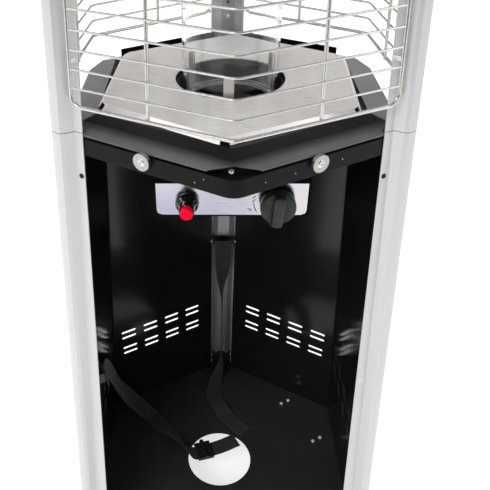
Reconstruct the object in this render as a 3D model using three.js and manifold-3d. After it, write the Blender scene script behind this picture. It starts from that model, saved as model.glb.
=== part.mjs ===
// A three-sided pyramid patio heater: a tapering cabinet for a gas bottle, a burner in a well
// under a bright reflector plate, and a glass flame tube between three leaning corner posts.
// Millimetres, +Z up, the front of the cabinet towards -Y. A size named "...Drop" is measured
// down from the reflector plate and one named "...Rise" up from it.
import * as THREE from 'three';
import { mergeVertices } from 'three/addons/utils/BufferGeometryUtils.js';
import Module from 'manifold-3d';

const wasm = await Module();
wasm.setup();

// Overall sizes
const cabinetHeight = 745;
const exposedHeight = 930;
const noseRadius = 226.5;
const leanShare = 0.0647;

// Clearances, overruns and the common sheet
const gap = 0.3;
const overrun = 5;
const sheet = 1.2;

// Corner posts: a cover with a raised nose and two flat wings, over a rolled steel channel
const noseHalf = 14.5;
const noseDepth = 20.5;
const noseRound = 9;
const wingWidth = 11;
const wingFlare = 11;
const coverWall = 1.6;
const channelWall = 1.5;
const channelHalf = 19;
const channelDepth = 29;
const channelWebHalf = 10;
const postBottom = 14;
const seamDrop = 15;
const seamGap = 0.6;
const postTopRise = 12;

// Base tray, feet and wheels
const traySheet = 1.5;
const skirtBottom = 16;
const trayCorner = 6;
const floorHoleRadius = 58;
const floorHoleAside = -5;
const footRadius = 18;
const footHeight = 9;
const footChamfer = 2;
const footNeck = 8;
const footInset = 36.5;
const wheelRadius = 28;
const wheelWidth = 22;
const wheelLift = 2;
const wheelHeadroom = 4;
const wheelInset = 0.5;
const wheelSpacing = 52;
const treadWidth = 14;
const treadChamfer = 3;
const hubRadius = 10;
const rimDepth = 5;
const rimWall = 6;
const axleRadius = 4;
const axleOverhang = 3;
const bracketEarSpan = 88;
const bracketSheet = 2.5;
const bracketReach = 18;
const bracketFoot = 16;
const earNose = 9;
const boltSpan = 105;
const boltPitch = 17;
const boltInset = 47;
const boltRadius = 3;
const boltHeadRadius = 5.5;
const boltHead = 4;
const wheelNotchHalf = 52;
const wheelNotchInset = 14.5;
const wheelNotchReach = 106;

// Cabinet panels with their ventilation slots
const panelInset = 11.5;
const panelRoom = 2.3;
const panelBend = 6;
const panelTopDrop = 20;
const slotLength = 28.4;
const slotWidth = 5.4;
const slotPitch = 45.2;
const slotStart = 54.6;
const slotGroups = 4;
const slotTopHeight = 197;
const slotRowSpacing = 14;
const slotPairSpacing = 41;

// Front band, its magnets, the hood and the reflector plate
const bandTopDrop = 22.2;
const bandHeight = 20;
const bandBend = 20;
const bandReturn = 13;
const magnetRadius = 10;
const magnetThickness = 5;
const magnetBore = 2.6;
const magnetDrop = 27;
const magnetAside = { left: 0, right: -6.4 };
const hoodPlatformDrop = 7;
const hoodPlatformInset = 34.3;
const hoodFoldDrop = 12;
const hoodFoldInset = 18.8;
const hoodEdgeDrop = 17.5;
const hoodLip = 2;
const hoodCornerReach = 12;
const rearLipDrop = 8;
const rearLipReach = 65;
const plateInset = 8.5;
const plateLip = 6.4;
const plateLipFlare = 5.4;
const plateHoleRoom = 8.9;
const plateCornerReach = 19;
const plateNotchHalf = 5;
const plateTurn = -3;

// Burner, flame tube and their seats
const wellRoom = 6.5;
const wellDepth = 95;
const wellFlange = 14;
const seatDrop = 28;
const seatWidth = 13;
const seatThickness = 2.6;
const clipWidth = 12;
const clipRise = 22;
const clipSheet = 1;
const tubeRadius = 57.5;
const tubeWall = 3;
const tubeTopRise = 20;
const headRoom = 17.5;
const headTopDrop = 34;
const headHeight = 24;
const headPortPairs = 6;
const portWidth = 6;
const portHeight = 8;
const venturiRadius = 14;
const venturiBore = 10.5;
const venturiLength = 96;
const venturiTop = 4;
const jetHolderHeight = 10;
const airPortWidth = 9;
const airPortHeight = 22;
const pilotRoom = 8.5;
const pilotSpacing = 13;
const pilotRadius = 3.2;
const pilotTopDrop = 48;
const pilotTail = 8;
const probeRadius = 1.8;
const ceramicRadius = 3;
const ceramicTopDrop = 62;
const tipRadius = 1;

// Control panel, gas valve, knob and igniter
const fasciaFront = 150;
const fasciaWidth = 166;
const fasciaHeight = 40;
const fasciaTop = 23;
const fasciaSheet = 1;
const controlDrop = 84;
const bracketBorder = 3;
const bracketSide = 14;
const hangerWidth = 80;
const hangerDepth = 28;
const knobAcross = 50.2;
const igniterAcross = -48.8;
const knobRadius = 19.6;
const knobStandoff = 5;
const knobDisc = 11;
const knobFaceRadius = 18;
const gripWidth = 12.5;
const gripDepth = 8.4;
const gripRadius = 19.6;
const spindleRadius = 4;
const spindleFront = 24;
const spindleBack = 12;
const spindleHole = 6;
const pushTravel = 4;
const valveWidth = 40;
const valveLength = 44;
const valveTall = 36;
const collarRadius = 12.2;
const collarLength = 12;
const barrelRadius = 8.9;
const barrelLength = 21;
const buttonRadius = 6.9;
const buttonStand = 6.6;
const buttonLength = 20;
const buttonTravel = 5;
const buttonRound = 1;
const igniterShankRadius = 8.4;
const igniterShankLength = 44;
const pipeRadius = 4;
const pilotPipeRadius = 2;
const nippleRadius = 5;
const nippleBarb = 1.4;
const nippleLength = 30;
const switchWidth = 30;
const switchTall = 22;
const switchDepth = 18;

// Wire guards
const guardBottomRise = 18.35;
const guardPitch = 19.83;
const guardWires = 43;
const guardBendInset = 17.9;
const guardLeanShare = 0.06;
const guardAcross = 23.5;
const guardStand = 8.1;
const guardRodShare = 0.517;
const frameRodRadius = 2.3;
const wireRadius = 1.3;
const guardCorner = 10;
const lugHeight = 10;
const lugInset = 42.5;
const lugReach = 3;

// Top plate, roof and spacers
const topPlateSkirt = 14;
const topHoleRoom = 2.5;
const ringWidth = 9;
const ringHeight = 8;
const roofRise = 36;
const roofOverhang = 32.5;
const roofTopApothem = 48;
const roofSlopeRise = 34;
const roofSkirt = 12;
const spacerRadius = 6;
const spacerRoom = 38;

// Bottle strap, its brackets and its buckle
const strapWidth = 30;
const strapThickness = 1.6;
const strapBracketDrop = 397;
const strapBracketTall = 18;
const strapBracketReach = 10;
const strapBarRadius = 2;
const footBracketHalf = 20;
const footBracketTall = 40;
const footBracketReach = 26;
const buckleLength = 30;
const buckleWidth = 40;
const buckleTall = 6;
const buckleSheet = 1.5;
const buckleCamRadius = 4;
const buckleX = -34;
const buckleY = 14;
const buckleTurn = 16.9;

const DEG = Math.PI / 180;
const COS30 = Math.cos(30 * DEG);
const SIN30 = Math.sin(30 * DEG);
const TAN30 = SIN30 / COS30;
const floorHeight = wheelLift + 2 * wheelRadius + wheelHeadroom;
const plateHeight = floorHeight + cabinetHeight;
const topHeight = plateHeight + exposedHeight;
const seamHeight = plateHeight - seamDrop;
const POSTS = { right: -30, back: 90, left: 210 };
const BENDS = { front: -90, right: 30, left: 150 };

const finish = (color, roughness, metalness) =>
  new THREE.MeshStandardMaterial({ color, roughness, metalness });
const blackGloss = finish(0x0c0c0e, 0.16, 0.1);
const blackSatin = finish(0x18181a, 0.5, 0.1);
const silver = finish(0xc9ccce, 0.4, 0.7);
const darkSteel = finish(0x55575a, 0.45, 0.8);
const brightSteel = finish(0xd0cdc8, 0.2, 1);
const zinc = finish(0xa9abad, 0.35, 0.9);
const rubber = finish(0x1c1c1c, 0.85, 0);
const blackPlastic = finish(0x151516, 0.35, 0);
const redPlastic = finish(0xd8102c, 0.35, 0);
const brass = finish(0xb08d4a, 0.3, 0.9);
const copper = finish(0xb0653c, 0.35, 0.9);
const ceramic = finish(0xe8e4da, 0.5, 0);
const webbing = finish(0x1a1a1b, 0.9, 0);
const glass = new THREE.MeshStandardMaterial({
  color: 0xeef4f4, roughness: 0.03, metalness: 0, transparent: true, opacity: 0.25,
});

const heater = new THREE.Group();

// Solids and booleans

function volumeOf(position, index) {
  const at = (i) => new THREE.Vector3().fromArray(position, 3 * index[i]);
  let volume = 0;
  for (let i = 0; i < index.length; i += 3) {
    volume += at(i).dot(at(i + 1).cross(at(i + 2)));
  }
  return volume;
}

function solid(geometry) {
  geometry.deleteAttribute('normal');
  geometry.deleteAttribute('uv');
  const merged = mergeVertices(geometry, 1e-4);
  const position = merged.attributes.position.array;
  const corners = [];
  for (let i = 0; i < merged.index.count; i += 3) {
    const [a, b, c] = [0, 1, 2].map((k) => merged.index.getX(i + k));
    if (a !== b && b !== c && c !== a) corners.push([a, b, c]);
  }
  const inward = volumeOf(position, corners.flat()) < 0;
  const index = corners.flatMap(([a, b, c]) => (inward ? [a, c, b] : [a, b, c]));
  return new wasm.Manifold(new wasm.Mesh({
    numProp: 3,
    vertProperties: new Float32Array(position),
    triVerts: new Uint32Array(index),
  }));
}

function geometryOf(body) {
  const mesh = body.getMesh();
  const geometry = new THREE.BufferGeometry();
  geometry.setAttribute('position', new THREE.BufferAttribute(mesh.vertProperties, 3));
  geometry.setIndex(new THREE.BufferAttribute(mesh.triVerts, 1));
  return geometry;
}

const join = (...bodies) => bodies.reduce((sum, body) => sum.add(body));
const cut = (body, ...tools) => tools.reduce((rest, tool) => rest.subtract(tool), body);

function add(name, body, material, parent = heater) {
  const mesh = new THREE.Mesh(geometryOf(body), material);
  mesh.name = name;
  parent.add(mesh);
  return mesh;
}

// Shapes

// A closed body through rings of plan points, each given with its height.
function loft(levels) {
  const clockwise = THREE.ShapeUtils.area(levels[0][1].map(([x, y]) => ({ x, y }))) < 0;
  const rings = levels.map(([z, points]) => [z, clockwise ? points.toReversed() : points]);
  const count = rings[0][1].length;
  const position = rings.flatMap(([z, points]) => points.flatMap(([x, y]) => [x, y, z]));
  const index = [];
  const cap = ([, points]) => THREE.ShapeUtils.triangulateShape(
    points.map(([x, y]) => new THREE.Vector2(x, y)), []);
  cap(rings[0]).forEach(([a, b, c]) => index.push(c, b, a));
  const top = (rings.length - 1) * count;
  cap(rings.at(-1)).forEach(([a, b, c]) => index.push(top + a, top + b, top + c));
  for (let k = 0; k + 1 < rings.length; k += 1) {
    for (let i = 0; i < count; i += 1) {
      const a = k * count + i;
      const b = k * count + ((i + 1) % count);
      index.push(a, b, b + count, a, b + count, a + count);
    }
  }
  const geometry = new THREE.BufferGeometry();
  geometry.setAttribute('position', new THREE.Float32BufferAttribute(position, 3));
  geometry.setIndex(index);
  return solid(geometry);
}

const leaning = (outline, bottom, top) => loft([bottom, top].map((z) => [z, outline(z)]));

function box(width, depth, height, x, y, z) {
  return solid(new THREE.BoxGeometry(width, depth, height).translate(x, y, z));
}

function turned(profile, segments) {
  const points = [...profile, profile[0]].map(([r, z]) => new THREE.Vector2(r, z));
  return solid(new THREE.LatheGeometry(points, segments).rotateX(Math.PI / 2));
}

const disc = (radius, bottom, top, segments) =>
  turned([[0, bottom], [radius, bottom], [radius, top], [0, top]], segments);

const ring = (inner, outer, bottom, top, segments) =>
  turned([[inner, bottom], [outer, bottom], [outer, top], [inner, top]], segments);

function prism(points, depth) {
  const shape = new THREE.Shape(points.map(([x, y]) => new THREE.Vector2(x, y)));
  return solid(new THREE.ExtrudeGeometry(shape, { depth, bevelEnabled: false }));
}

// A closed body through rings of points in space, capped at its ends unless it closes on itself.
function skinned(rings, closed, mirrored = false) {
  const sides = rings[0].length;
  const index = [];
  const spans = closed ? rings.length : rings.length - 1;
  for (let i = 0; i < spans; i += 1) {
    const next = (i + 1) % rings.length;
    for (let k = 0; k < sides; k += 1) {
      const other = (k + 1) % sides;
      const [a, b, c, d] = [i * sides + k, i * sides + other, next * sides + other,
        next * sides + k];
      if (mirrored && 2 * k >= sides) index.push(a, b, d, b, c, d);
      else index.push(a, b, c, a, c, d);
    }
  }
  const end = (rings.length - 1) * sides;
  for (let k = 1; !closed && k + 1 < sides; k += 1) {
    index.push(0, k + 1, k, end, end + k, end + k + 1);
  }
  const geometry = new THREE.BufferGeometry();
  geometry.setAttribute('position', new THREE.Float32BufferAttribute(rings.flat(2), 3));
  geometry.setIndex(index);
  return solid(geometry);
}

// A bar of constant section along a chain of points in space; its first flats face the normal.
function bar(points, radius, sides, closed = false, normal = [0, 0, 1]) {
  const path = points.map((p) => new THREE.Vector3(...p));
  const last = path.length - 1;
  const step = (i, j) => path[j].clone().sub(path[i]).normalize();
  let side = null;
  const rings = path.map((point, i) => {
    const after = i < last || closed ? step(i, (i + 1) % path.length) : step(last - 1, last);
    const before = i > 0 || closed ? step((i + last) % path.length, i) : after;
    const along = before.clone().add(after).normalize();
    side ??= new THREE.Vector3(...normal).cross(along);
    side = side.clone().addScaledVector(along, -side.dot(along)).normalize();
    const up = new THREE.Vector3().crossVectors(along, side);
    return Array.from({ length: sides }, (_, k) => {
      const angle = (2 * k + 1) * Math.PI / sides;
      return point.clone().addScaledVector(side, radius * Math.cos(angle))
        .addScaledVector(up, radius * Math.sin(angle)).toArray();
    });
  });
  return skinned(rings, closed);
}

function smooth(points, steps) {
  const curve = new THREE.CatmullRomCurve3(points.map((p) => new THREE.Vector3(...p)));
  return curve.getPoints(steps).map((p) => p.toArray());
}

// Plan geometry: the skin is a hexagon whose corners are posts and bends in turn

function polar(azimuth, radial, across) {
  const c = Math.cos(azimuth * DEG);
  const s = Math.sin(azimuth * DEG);
  return [radial * c - across * s, radial * s + across * c];
}

const noseAt = (z) => noseRadius + leanShare * (plateHeight - z);
const skinAt = (z) => (noseAt(z) - noseDepth) * COS30 + noseHalf * SIN30;
const channelInner = (z) => noseAt(z) - channelDepth - channelWall;

// Sizes that follow the skin, the wheels or the flame tube
const footOrbit = noseRadius - footInset;
const wheelOrbit = noseRadius - wheelInset;
const boltOrbit = noseRadius - boltInset;
const wheelNotchOrbit = noseRadius - wheelNotchInset;
const hoodEdgeApothem = skinAt(plateHeight - hoodEdgeDrop) - coverWall - gap;
const hoodFoldApothem = hoodEdgeApothem - hoodFoldInset;
const hoodPlatformApothem = hoodEdgeApothem - hoodPlatformInset;
const hoodCornerRadius = hoodEdgeApothem + hoodCornerReach;
const plateApothem = hoodPlatformApothem - plateInset;
const plateCornerRadius = plateApothem + plateCornerReach;
const plateHoleRadius = tubeRadius + plateHoleRoom;
const wellRadius = tubeRadius + wellRoom;
const wellFlangeRadius = wellRadius + wellFlange;
const headRadius = tubeRadius - headRoom;
const pilotOrbit = tubeRadius - pilotRoom;
const guardBendRadius = noseRadius - guardBendInset;
const topHoleRadius = tubeRadius + topHoleRoom;
const roofApothem = skinAt(topHeight) + roofOverhang;
const spacerOrbit = topHoleRadius + spacerRoom;

// A point beside a post, so far across from its middle and so deep behind the skin.
function behindSkin(azimuth, side, z, across, depth) {
  const radial = noseAt(z) - noseDepth - (across - noseHalf) * TAN30 - depth / COS30;
  return polar(azimuth, radial, side * across);
}

function bendArc(azimuth, apothem, radius, steps) {
  const centre = (apothem - radius) / COS30;
  return Array.from({ length: steps + 1 }, (_, i) => {
    const angle = (-30 + 60 * i / steps) * DEG;
    return polar(azimuth, centre + radius * Math.cos(angle), radius * Math.sin(angle));
  });
}

// A hexagon whose corners are cut square to their radius, at one radius or at two in turn.
function hexagon(apothem, bendCut, postCut = bendCut) {
  return [-90, -30, 30, 90, 150, 210].flatMap((azimuth, i) => {
    const radial = i % 2 ? postCut : bendCut;
    const across = (apothem - radial * COS30) / SIN30;
    return [polar(azimuth, radial, -across), polar(azimuth, radial, across)];
  });
}

// The same chain of points moved to its left by a distance, with mitred corners.
function offsetChain(points, distance) {
  const normal = (a, b) => {
    const length = Math.hypot(b[0] - a[0], b[1] - a[1]);
    return [(a[1] - b[1]) / length, (b[0] - a[0]) / length];
  };
  return points.map((point, i) => {
    const next = points[i + 1] ? normal(point, points[i + 1]) : normal(points[i - 1], point);
    const last = i > 0 ? normal(points[i - 1], point) : next;
    const scale = distance / (1 + last[0] * next[0] + last[1] * next[1]);
    return [point[0] + (last[0] + next[0]) * scale, point[1] + (last[1] + next[1]) * scale];
  });
}

const strip = (chain, thickness) => [...chain, ...offsetChain(chain, thickness).reverse()];

const mirrored = (half) => [...half.slice(1).reverse().map(([d, t]) => [d, -t]), ...half];

// Corner posts

const nosePoints = [0, 30, 60, 90].map((angle) => [
  -noseRound * (1 - Math.cos(angle * DEG)), noseHalf * Math.sin(angle * DEG)]);
const wingAt = (z) => wingWidth
  + wingFlare * Math.max(0, (seamHeight - z) / (seamHeight - floorHeight));

function coverOutline(azimuth, z) {
  const wing = wingAt(z);
  const half = [...nosePoints, [-noseDepth, noseHalf],
    [-noseDepth - wing * SIN30, noseHalf + wing * COS30]];
  return strip(mirrored(half), coverWall).map(([d, t]) => polar(azimuth, noseAt(z) + d, t));
}

function channelOutline(azimuth, z, wall) {
  const inset = coverWall + gap;
  const edge = channelHalf + inset * SIN30;
  const skin = [...nosePoints, [-noseDepth, noseHalf],
    [-noseDepth - (edge - noseHalf) * TAN30, edge]];
  const back = -channelDepth - channelWall;
  const half = [...offsetChain(mirrored(skin), inset).slice(skin.length - 1),
    [back, channelWebHalf], [back, 0]];
  return offsetChain(mirrored(half), wall).slice(1)
    .map(([d, t]) => polar(azimuth, noseAt(z) + d, t));
}

// The room that a post's channel takes in a sheet that reaches past it.
function postNotch(bottom, top) {
  return Object.values(POSTS).map((azimuth) => leaning((z) => {
    const inner = channelInner(z) - gap;
    const half = channelHalf + gap;
    const outer = noseAt(z) + overrun;
    return [polar(azimuth, inner, -half), polar(azimuth, outer, -half),
      polar(azimuth, outer, half), polar(azimuth, inner, half)];
  }, bottom, top));
}

function buildPosts() {
  for (const [place, azimuth] of Object.entries(POSTS)) {
    const cover = (z) => coverOutline(azimuth, z);
    const channel = (wall) => (z) => channelOutline(azimuth, z, wall);
    add(`post_cover_lower_${place}`, leaning(cover, postBottom, seamHeight - seamGap), silver);
    add(`post_cover_upper_${place}`, leaning(cover, seamHeight, topHeight + postTopRise), silver);
    const channelTop = topHeight + postTopRise;
    add(`post_channel_${place}`, cut(leaning(channel(0), postBottom, channelTop),
      leaning(channel(channelWall), postBottom - overrun, channelTop + overrun)), darkSteel);
  }
}

// Base tray, post feet, rubber feet and wheels

function buildBase() {
  const edge = (inset) => (z) => {
    const apothem = skinAt(z) - coverWall - gap - inset;
    const sharp = apothem / COS30;
    return hexagon(apothem, sharp - trayCorner);
  };
  const notch = box(wheelNotchReach, 2 * wheelNotchHalf, floorHeight - traySheet,
    wheelNotchOrbit + wheelNotchReach / 2, 0, (floorHeight - traySheet) / 2)
    .rotate([0, 0, BENDS.right]);
  const boltHoles = boltPlaces().map(([x, y]) =>
    disc(boltRadius + gap, 0, floorHeight + overrun, 12).translate([x, y, 0])
      .rotate([0, 0, BENDS.right]));
  add('base_tray', cut(
    leaning(edge(0), skirtBottom, floorHeight),
    leaning(edge(traySheet), skirtBottom - overrun, floorHeight - traySheet),
    disc(floorHoleRadius, 0, floorHeight + overrun, 48).translate([floorHoleAside, 0, 0]),
    notch, ...boltHoles, ...postNotch(0, floorHeight + overrun),
  ), blackGloss);

  const footTop = floorHeight - traySheet - gap;
  for (const [place, azimuth] of Object.entries(POSTS)) {
    const foot = turned([[0, 0], [footRadius - footChamfer, 0], [footRadius, footChamfer],
      [footRadius, footHeight], [footNeck, footHeight], [footNeck, footTop], [0, footTop]], 20);
    const [x, y] = polar(azimuth, footOrbit, 0);
    add(`foot_${place}`, foot, rubber).position.set(x, y, 0);

    const low = floorHeight + gap;
    const plateFrom = (reach, bottom, top) => leaning((z) => {
      const outer = channelInner(z) - gap;
      return [polar(azimuth, outer - reach, -footBracketHalf),
        polar(azimuth, outer, -footBracketHalf), polar(azimuth, outer, footBracketHalf),
        polar(azimuth, outer - reach, footBracketHalf)];
    }, bottom, top);
    add(`post_foot_bracket_${place}`, join(
      plateFrom(traySheet, low, low + footBracketTall),
      plateFrom(footBracketReach, low, low + traySheet)), darkSteel);
  }
}

function boltPlaces() {
  return [-1, 1].flatMap((side) => [-1, 1].map((end) => [
    boltOrbit + end * boltPitch / 2, side * boltSpan / 2]));
}

function buildWheels() {
  const wheels = new THREE.Group();
  wheels.rotation.z = BENDS.right * DEG;
  heater.add(wheels);
  const under = floorHeight - traySheet - gap;
  const centre = wheelRadius + wheelLift;
  const inner = boltOrbit - bracketReach;
  const earTop = under - bracketSheet / 2;
  const earOutline = [[inner, earTop], [inner, under - bracketReach], [wheelOrbit - earNose, centre
    - earNose], [wheelOrbit, centre - earNose], [wheelOrbit + earNose, centre],
  [wheelOrbit + earNose, earTop]];
  const ear = (side) => prism(earOutline, bracketSheet).rotate([90, 0, 0])
    .translate([0, side * bracketEarSpan / 2 + bracketSheet / 2, 0]);
  const axleHole = disc(axleRadius + gap, -bracketEarSpan, bracketEarSpan, 16)
    .rotate([90, 0, 0]).translate([wheelOrbit, 0, centre]);
  const bolt = ([x, y]) => join(
    disc(boltRadius, under - bracketSheet, floorHeight + boltHead, 12),
    disc(boltHeadRadius, floorHeight + gap, floorHeight + boltHead, 6)).translate([x, y, 0]);
  const web = box(2 * bracketReach, boltSpan + bracketFoot, bracketSheet,
    boltOrbit, 0, under - bracketSheet / 2);
  add('wheel_bracket', cut(join(web, ear(-1), ear(1), ...boltPlaces().map(bolt)), axleHole),
    zinc, wheels);

  const axleHalf = bracketEarSpan / 2 + bracketSheet + axleOverhang;
  const axle = add('wheel_axle', disc(axleRadius, -axleHalf, axleHalf, 16), zinc, wheels);
  axle.position.set(wheelOrbit, 0, centre);
  axle.rotation.x = Math.PI / 2;

  const half = wheelWidth / 2;
  const webHalf = half - rimDepth;
  const bore = axleRadius + gap;
  const outer = [[bore, half], [hubRadius, half], [hubRadius, webHalf],
    [wheelRadius - rimWall, webHalf], [wheelRadius - treadChamfer, half],
    [wheelRadius, treadWidth / 2]];
  const profile = [...outer, ...outer.toReversed().map(([r, z]) => [r, -z])];
  for (const [name, side] of [['wheel_front', -1], ['wheel_rear', 1]]) {
    const wheel = add(name, turned(profile, 22), rubber, wheels);
    wheel.position.set(wheelOrbit, side * wheelSpacing / 2, centre);
    wheel.rotation.x = Math.PI / 2;
  }
}

// Cabinet panels, front band and magnets

// Slots through the face at an azimuth, set out from the post on one of its sides.
function slotTools(face, side) {
  const tools = [];
  for (let group = 0; group < slotGroups; group += 1) {
    const start = slotStart + group * slotPitch;
    for (const row of [0, slotRowSpacing, slotPairSpacing, slotPairSpacing + slotRowSpacing]) {
      const height = floorHeight + slotTopHeight - row;
      const apothem = skinAt(height) - panelInset;
      const along = apothem * TAN30 - start - slotLength / 2;
      const centre = polar(face, apothem, side * along);
      const end = slotWidth / 2;
      const straight = slotLength / 2 - end;
      const half = [[straight, -end], [straight + end, 0], [straight, end]];
      const outline = [...half, ...half.map(([x, y]) => [-x, -y])];
      tools.push(prism(outline, 4 * overrun).translate([0, 0, -2 * overrun])
        .rotate([90, 0, 0]).rotate([0, 0, face - POSTS.back])
        .translate([centre[0], centre[1], height]));
    }
  }
  return tools;
}

function buildPanels() {
  const inset = coverWall + 2 * gap;
  const across = channelHalf + panelRoom + sheet;
  for (const [place, bend] of [['right', BENDS.right], ['left', BENDS.left]]) {
    const outline = (z) => strip([
      behindSkin(bend - 60, 1, z, across, inset),
      behindSkin(bend - 60, 1, z, across, panelInset),
      ...bendArc(bend, skinAt(z) - panelInset, panelBend, 2),
      behindSkin(bend + 60, -1, z, across, panelInset),
      behindSkin(bend + 60, -1, z, across, inset)], sheet);
    const panel = leaning(outline, floorHeight + gap, plateHeight - panelTopDrop);
    const slots = [...slotTools(bend + 30, 1), ...slotTools(bend - 30, -1)];
    add(`side_panel_${place}`, cut(panel, ...slots), blackGloss);
  }

  const behind = coverWall + gap;
  const start = channelHalf + gap;
  const chain = (depth) => (z) => [
    behindSkin(POSTS.left, 1, z, start, depth),
    ...bendArc(BENDS.front, skinAt(z) - depth, bandBend, 4),
    behindSkin(POSTS.right, -1, z, start, depth)];
  const top = plateHeight - bandTopDrop;
  const face = leaning((z) => strip(chain(behind)(z), sheet), top - bandHeight, top);
  const shelf = leaning((z) => strip(chain(behind)(z), bandReturn), top - sheet, top);
  add('front_band', cut(join(face, shelf), ...postNotch(top - bandHeight - gap, top + gap)),
    blackGloss);

  for (const [place, turn] of [['left', -120], ['right', -60]]) {
    const z = plateHeight - magnetDrop;
    const [x, y] = polar(turn, skinAt(z) - behind + gap + magnetRadius * leanShare,
      magnetAside[place]);
    const magnet = add(`door_magnet_${place}`,
      ring(magnetBore, magnetRadius, 0, magnetThickness, 24), brightSteel);
    magnet.position.set(x, y, z);
    magnet.rotation.set(0, Math.PI / 2, 0);
    magnet.rotation.order = 'ZYX';
    magnet.rotation.z = turn * DEG;
  }
}

// Hood and reflector plate

function buildHood() {
  const levels = [[hoodEdgeDrop + hoodLip, hoodEdgeApothem], [hoodEdgeDrop, hoodEdgeApothem],
    [hoodFoldDrop, hoodFoldApothem], [hoodPlatformDrop, hoodPlatformApothem]];
  const shell = (lower, inset) => loft(levels.map(([drop, apothem]) => {
    const size = Math.min(apothem, hoodEdgeApothem - inset);
    return [plateHeight - drop - lower, hexagon(size, size / COS30 - gap)];
  }));
  const cornerCuts = Object.values(BENDS).map((bend) =>
    box(hoodCornerReach + 2 * overrun, hoodEdgeApothem / 2, wellDepth,
      hoodCornerRadius + hoodCornerReach / 2 + overrun, 0, plateHeight - wellDepth / 2)
      .rotate([0, 0, bend]));
  const rearLip = [-1, 1].map((side) => leaning((z) => {
    const behind = coverWall + gap;
    const ends = [behindSkin(POSTS.back, side, z, channelHalf + gap, behind),
      polar(POSTS.back + side * 30, skinAt(z) - behind, side * rearLipReach)];
    return strip(side > 0 ? ends : ends.reverse(), sheet);
  }, plateHeight - hoodEdgeDrop, plateHeight - rearLipDrop));
  add('hood', join(cut(shell(0, 0), shell(sheet, sheet),
    disc(wellRadius + gap, plateHeight - wellDepth, plateHeight, 48), ...cornerCuts,
    ...postNotch(plateHeight - wellDepth, plateHeight)), ...rearLip), blackGloss);

  const flare = plateLipFlare / plateLip;
  const wall = sheet * Math.hypot(1, flare);
  const outline = (z, inset) => [z,
    hexagon(plateApothem - flare * z - inset, plateCornerRadius - flare * z - inset / COS30)];
  const notches = [0, 60, 120, 180, 240, 300].map((turn) =>
    box(4 * overrun, 2 * plateNotchHalf, plateLip, plateCornerRadius + plateLipFlare / 2, 0,
      -sheet - plateLip / 2)
      .rotate([0, 0, turn + 30]));
  const plate = add('reflector_plate', cut(
    loft([outline(-plateLip, 0), outline(0, 0)]),
    loft([outline(-plateLip - overrun, wall), outline(-sheet, wall)]),
    disc(plateHoleRadius, -plateLip, overrun, 48), ...notches), brightSteel);
  plate.position.z = plateHeight;
  plate.rotation.z = plateTurn * DEG;
}

// Burner, pilot group, flame tube and seats

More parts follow.
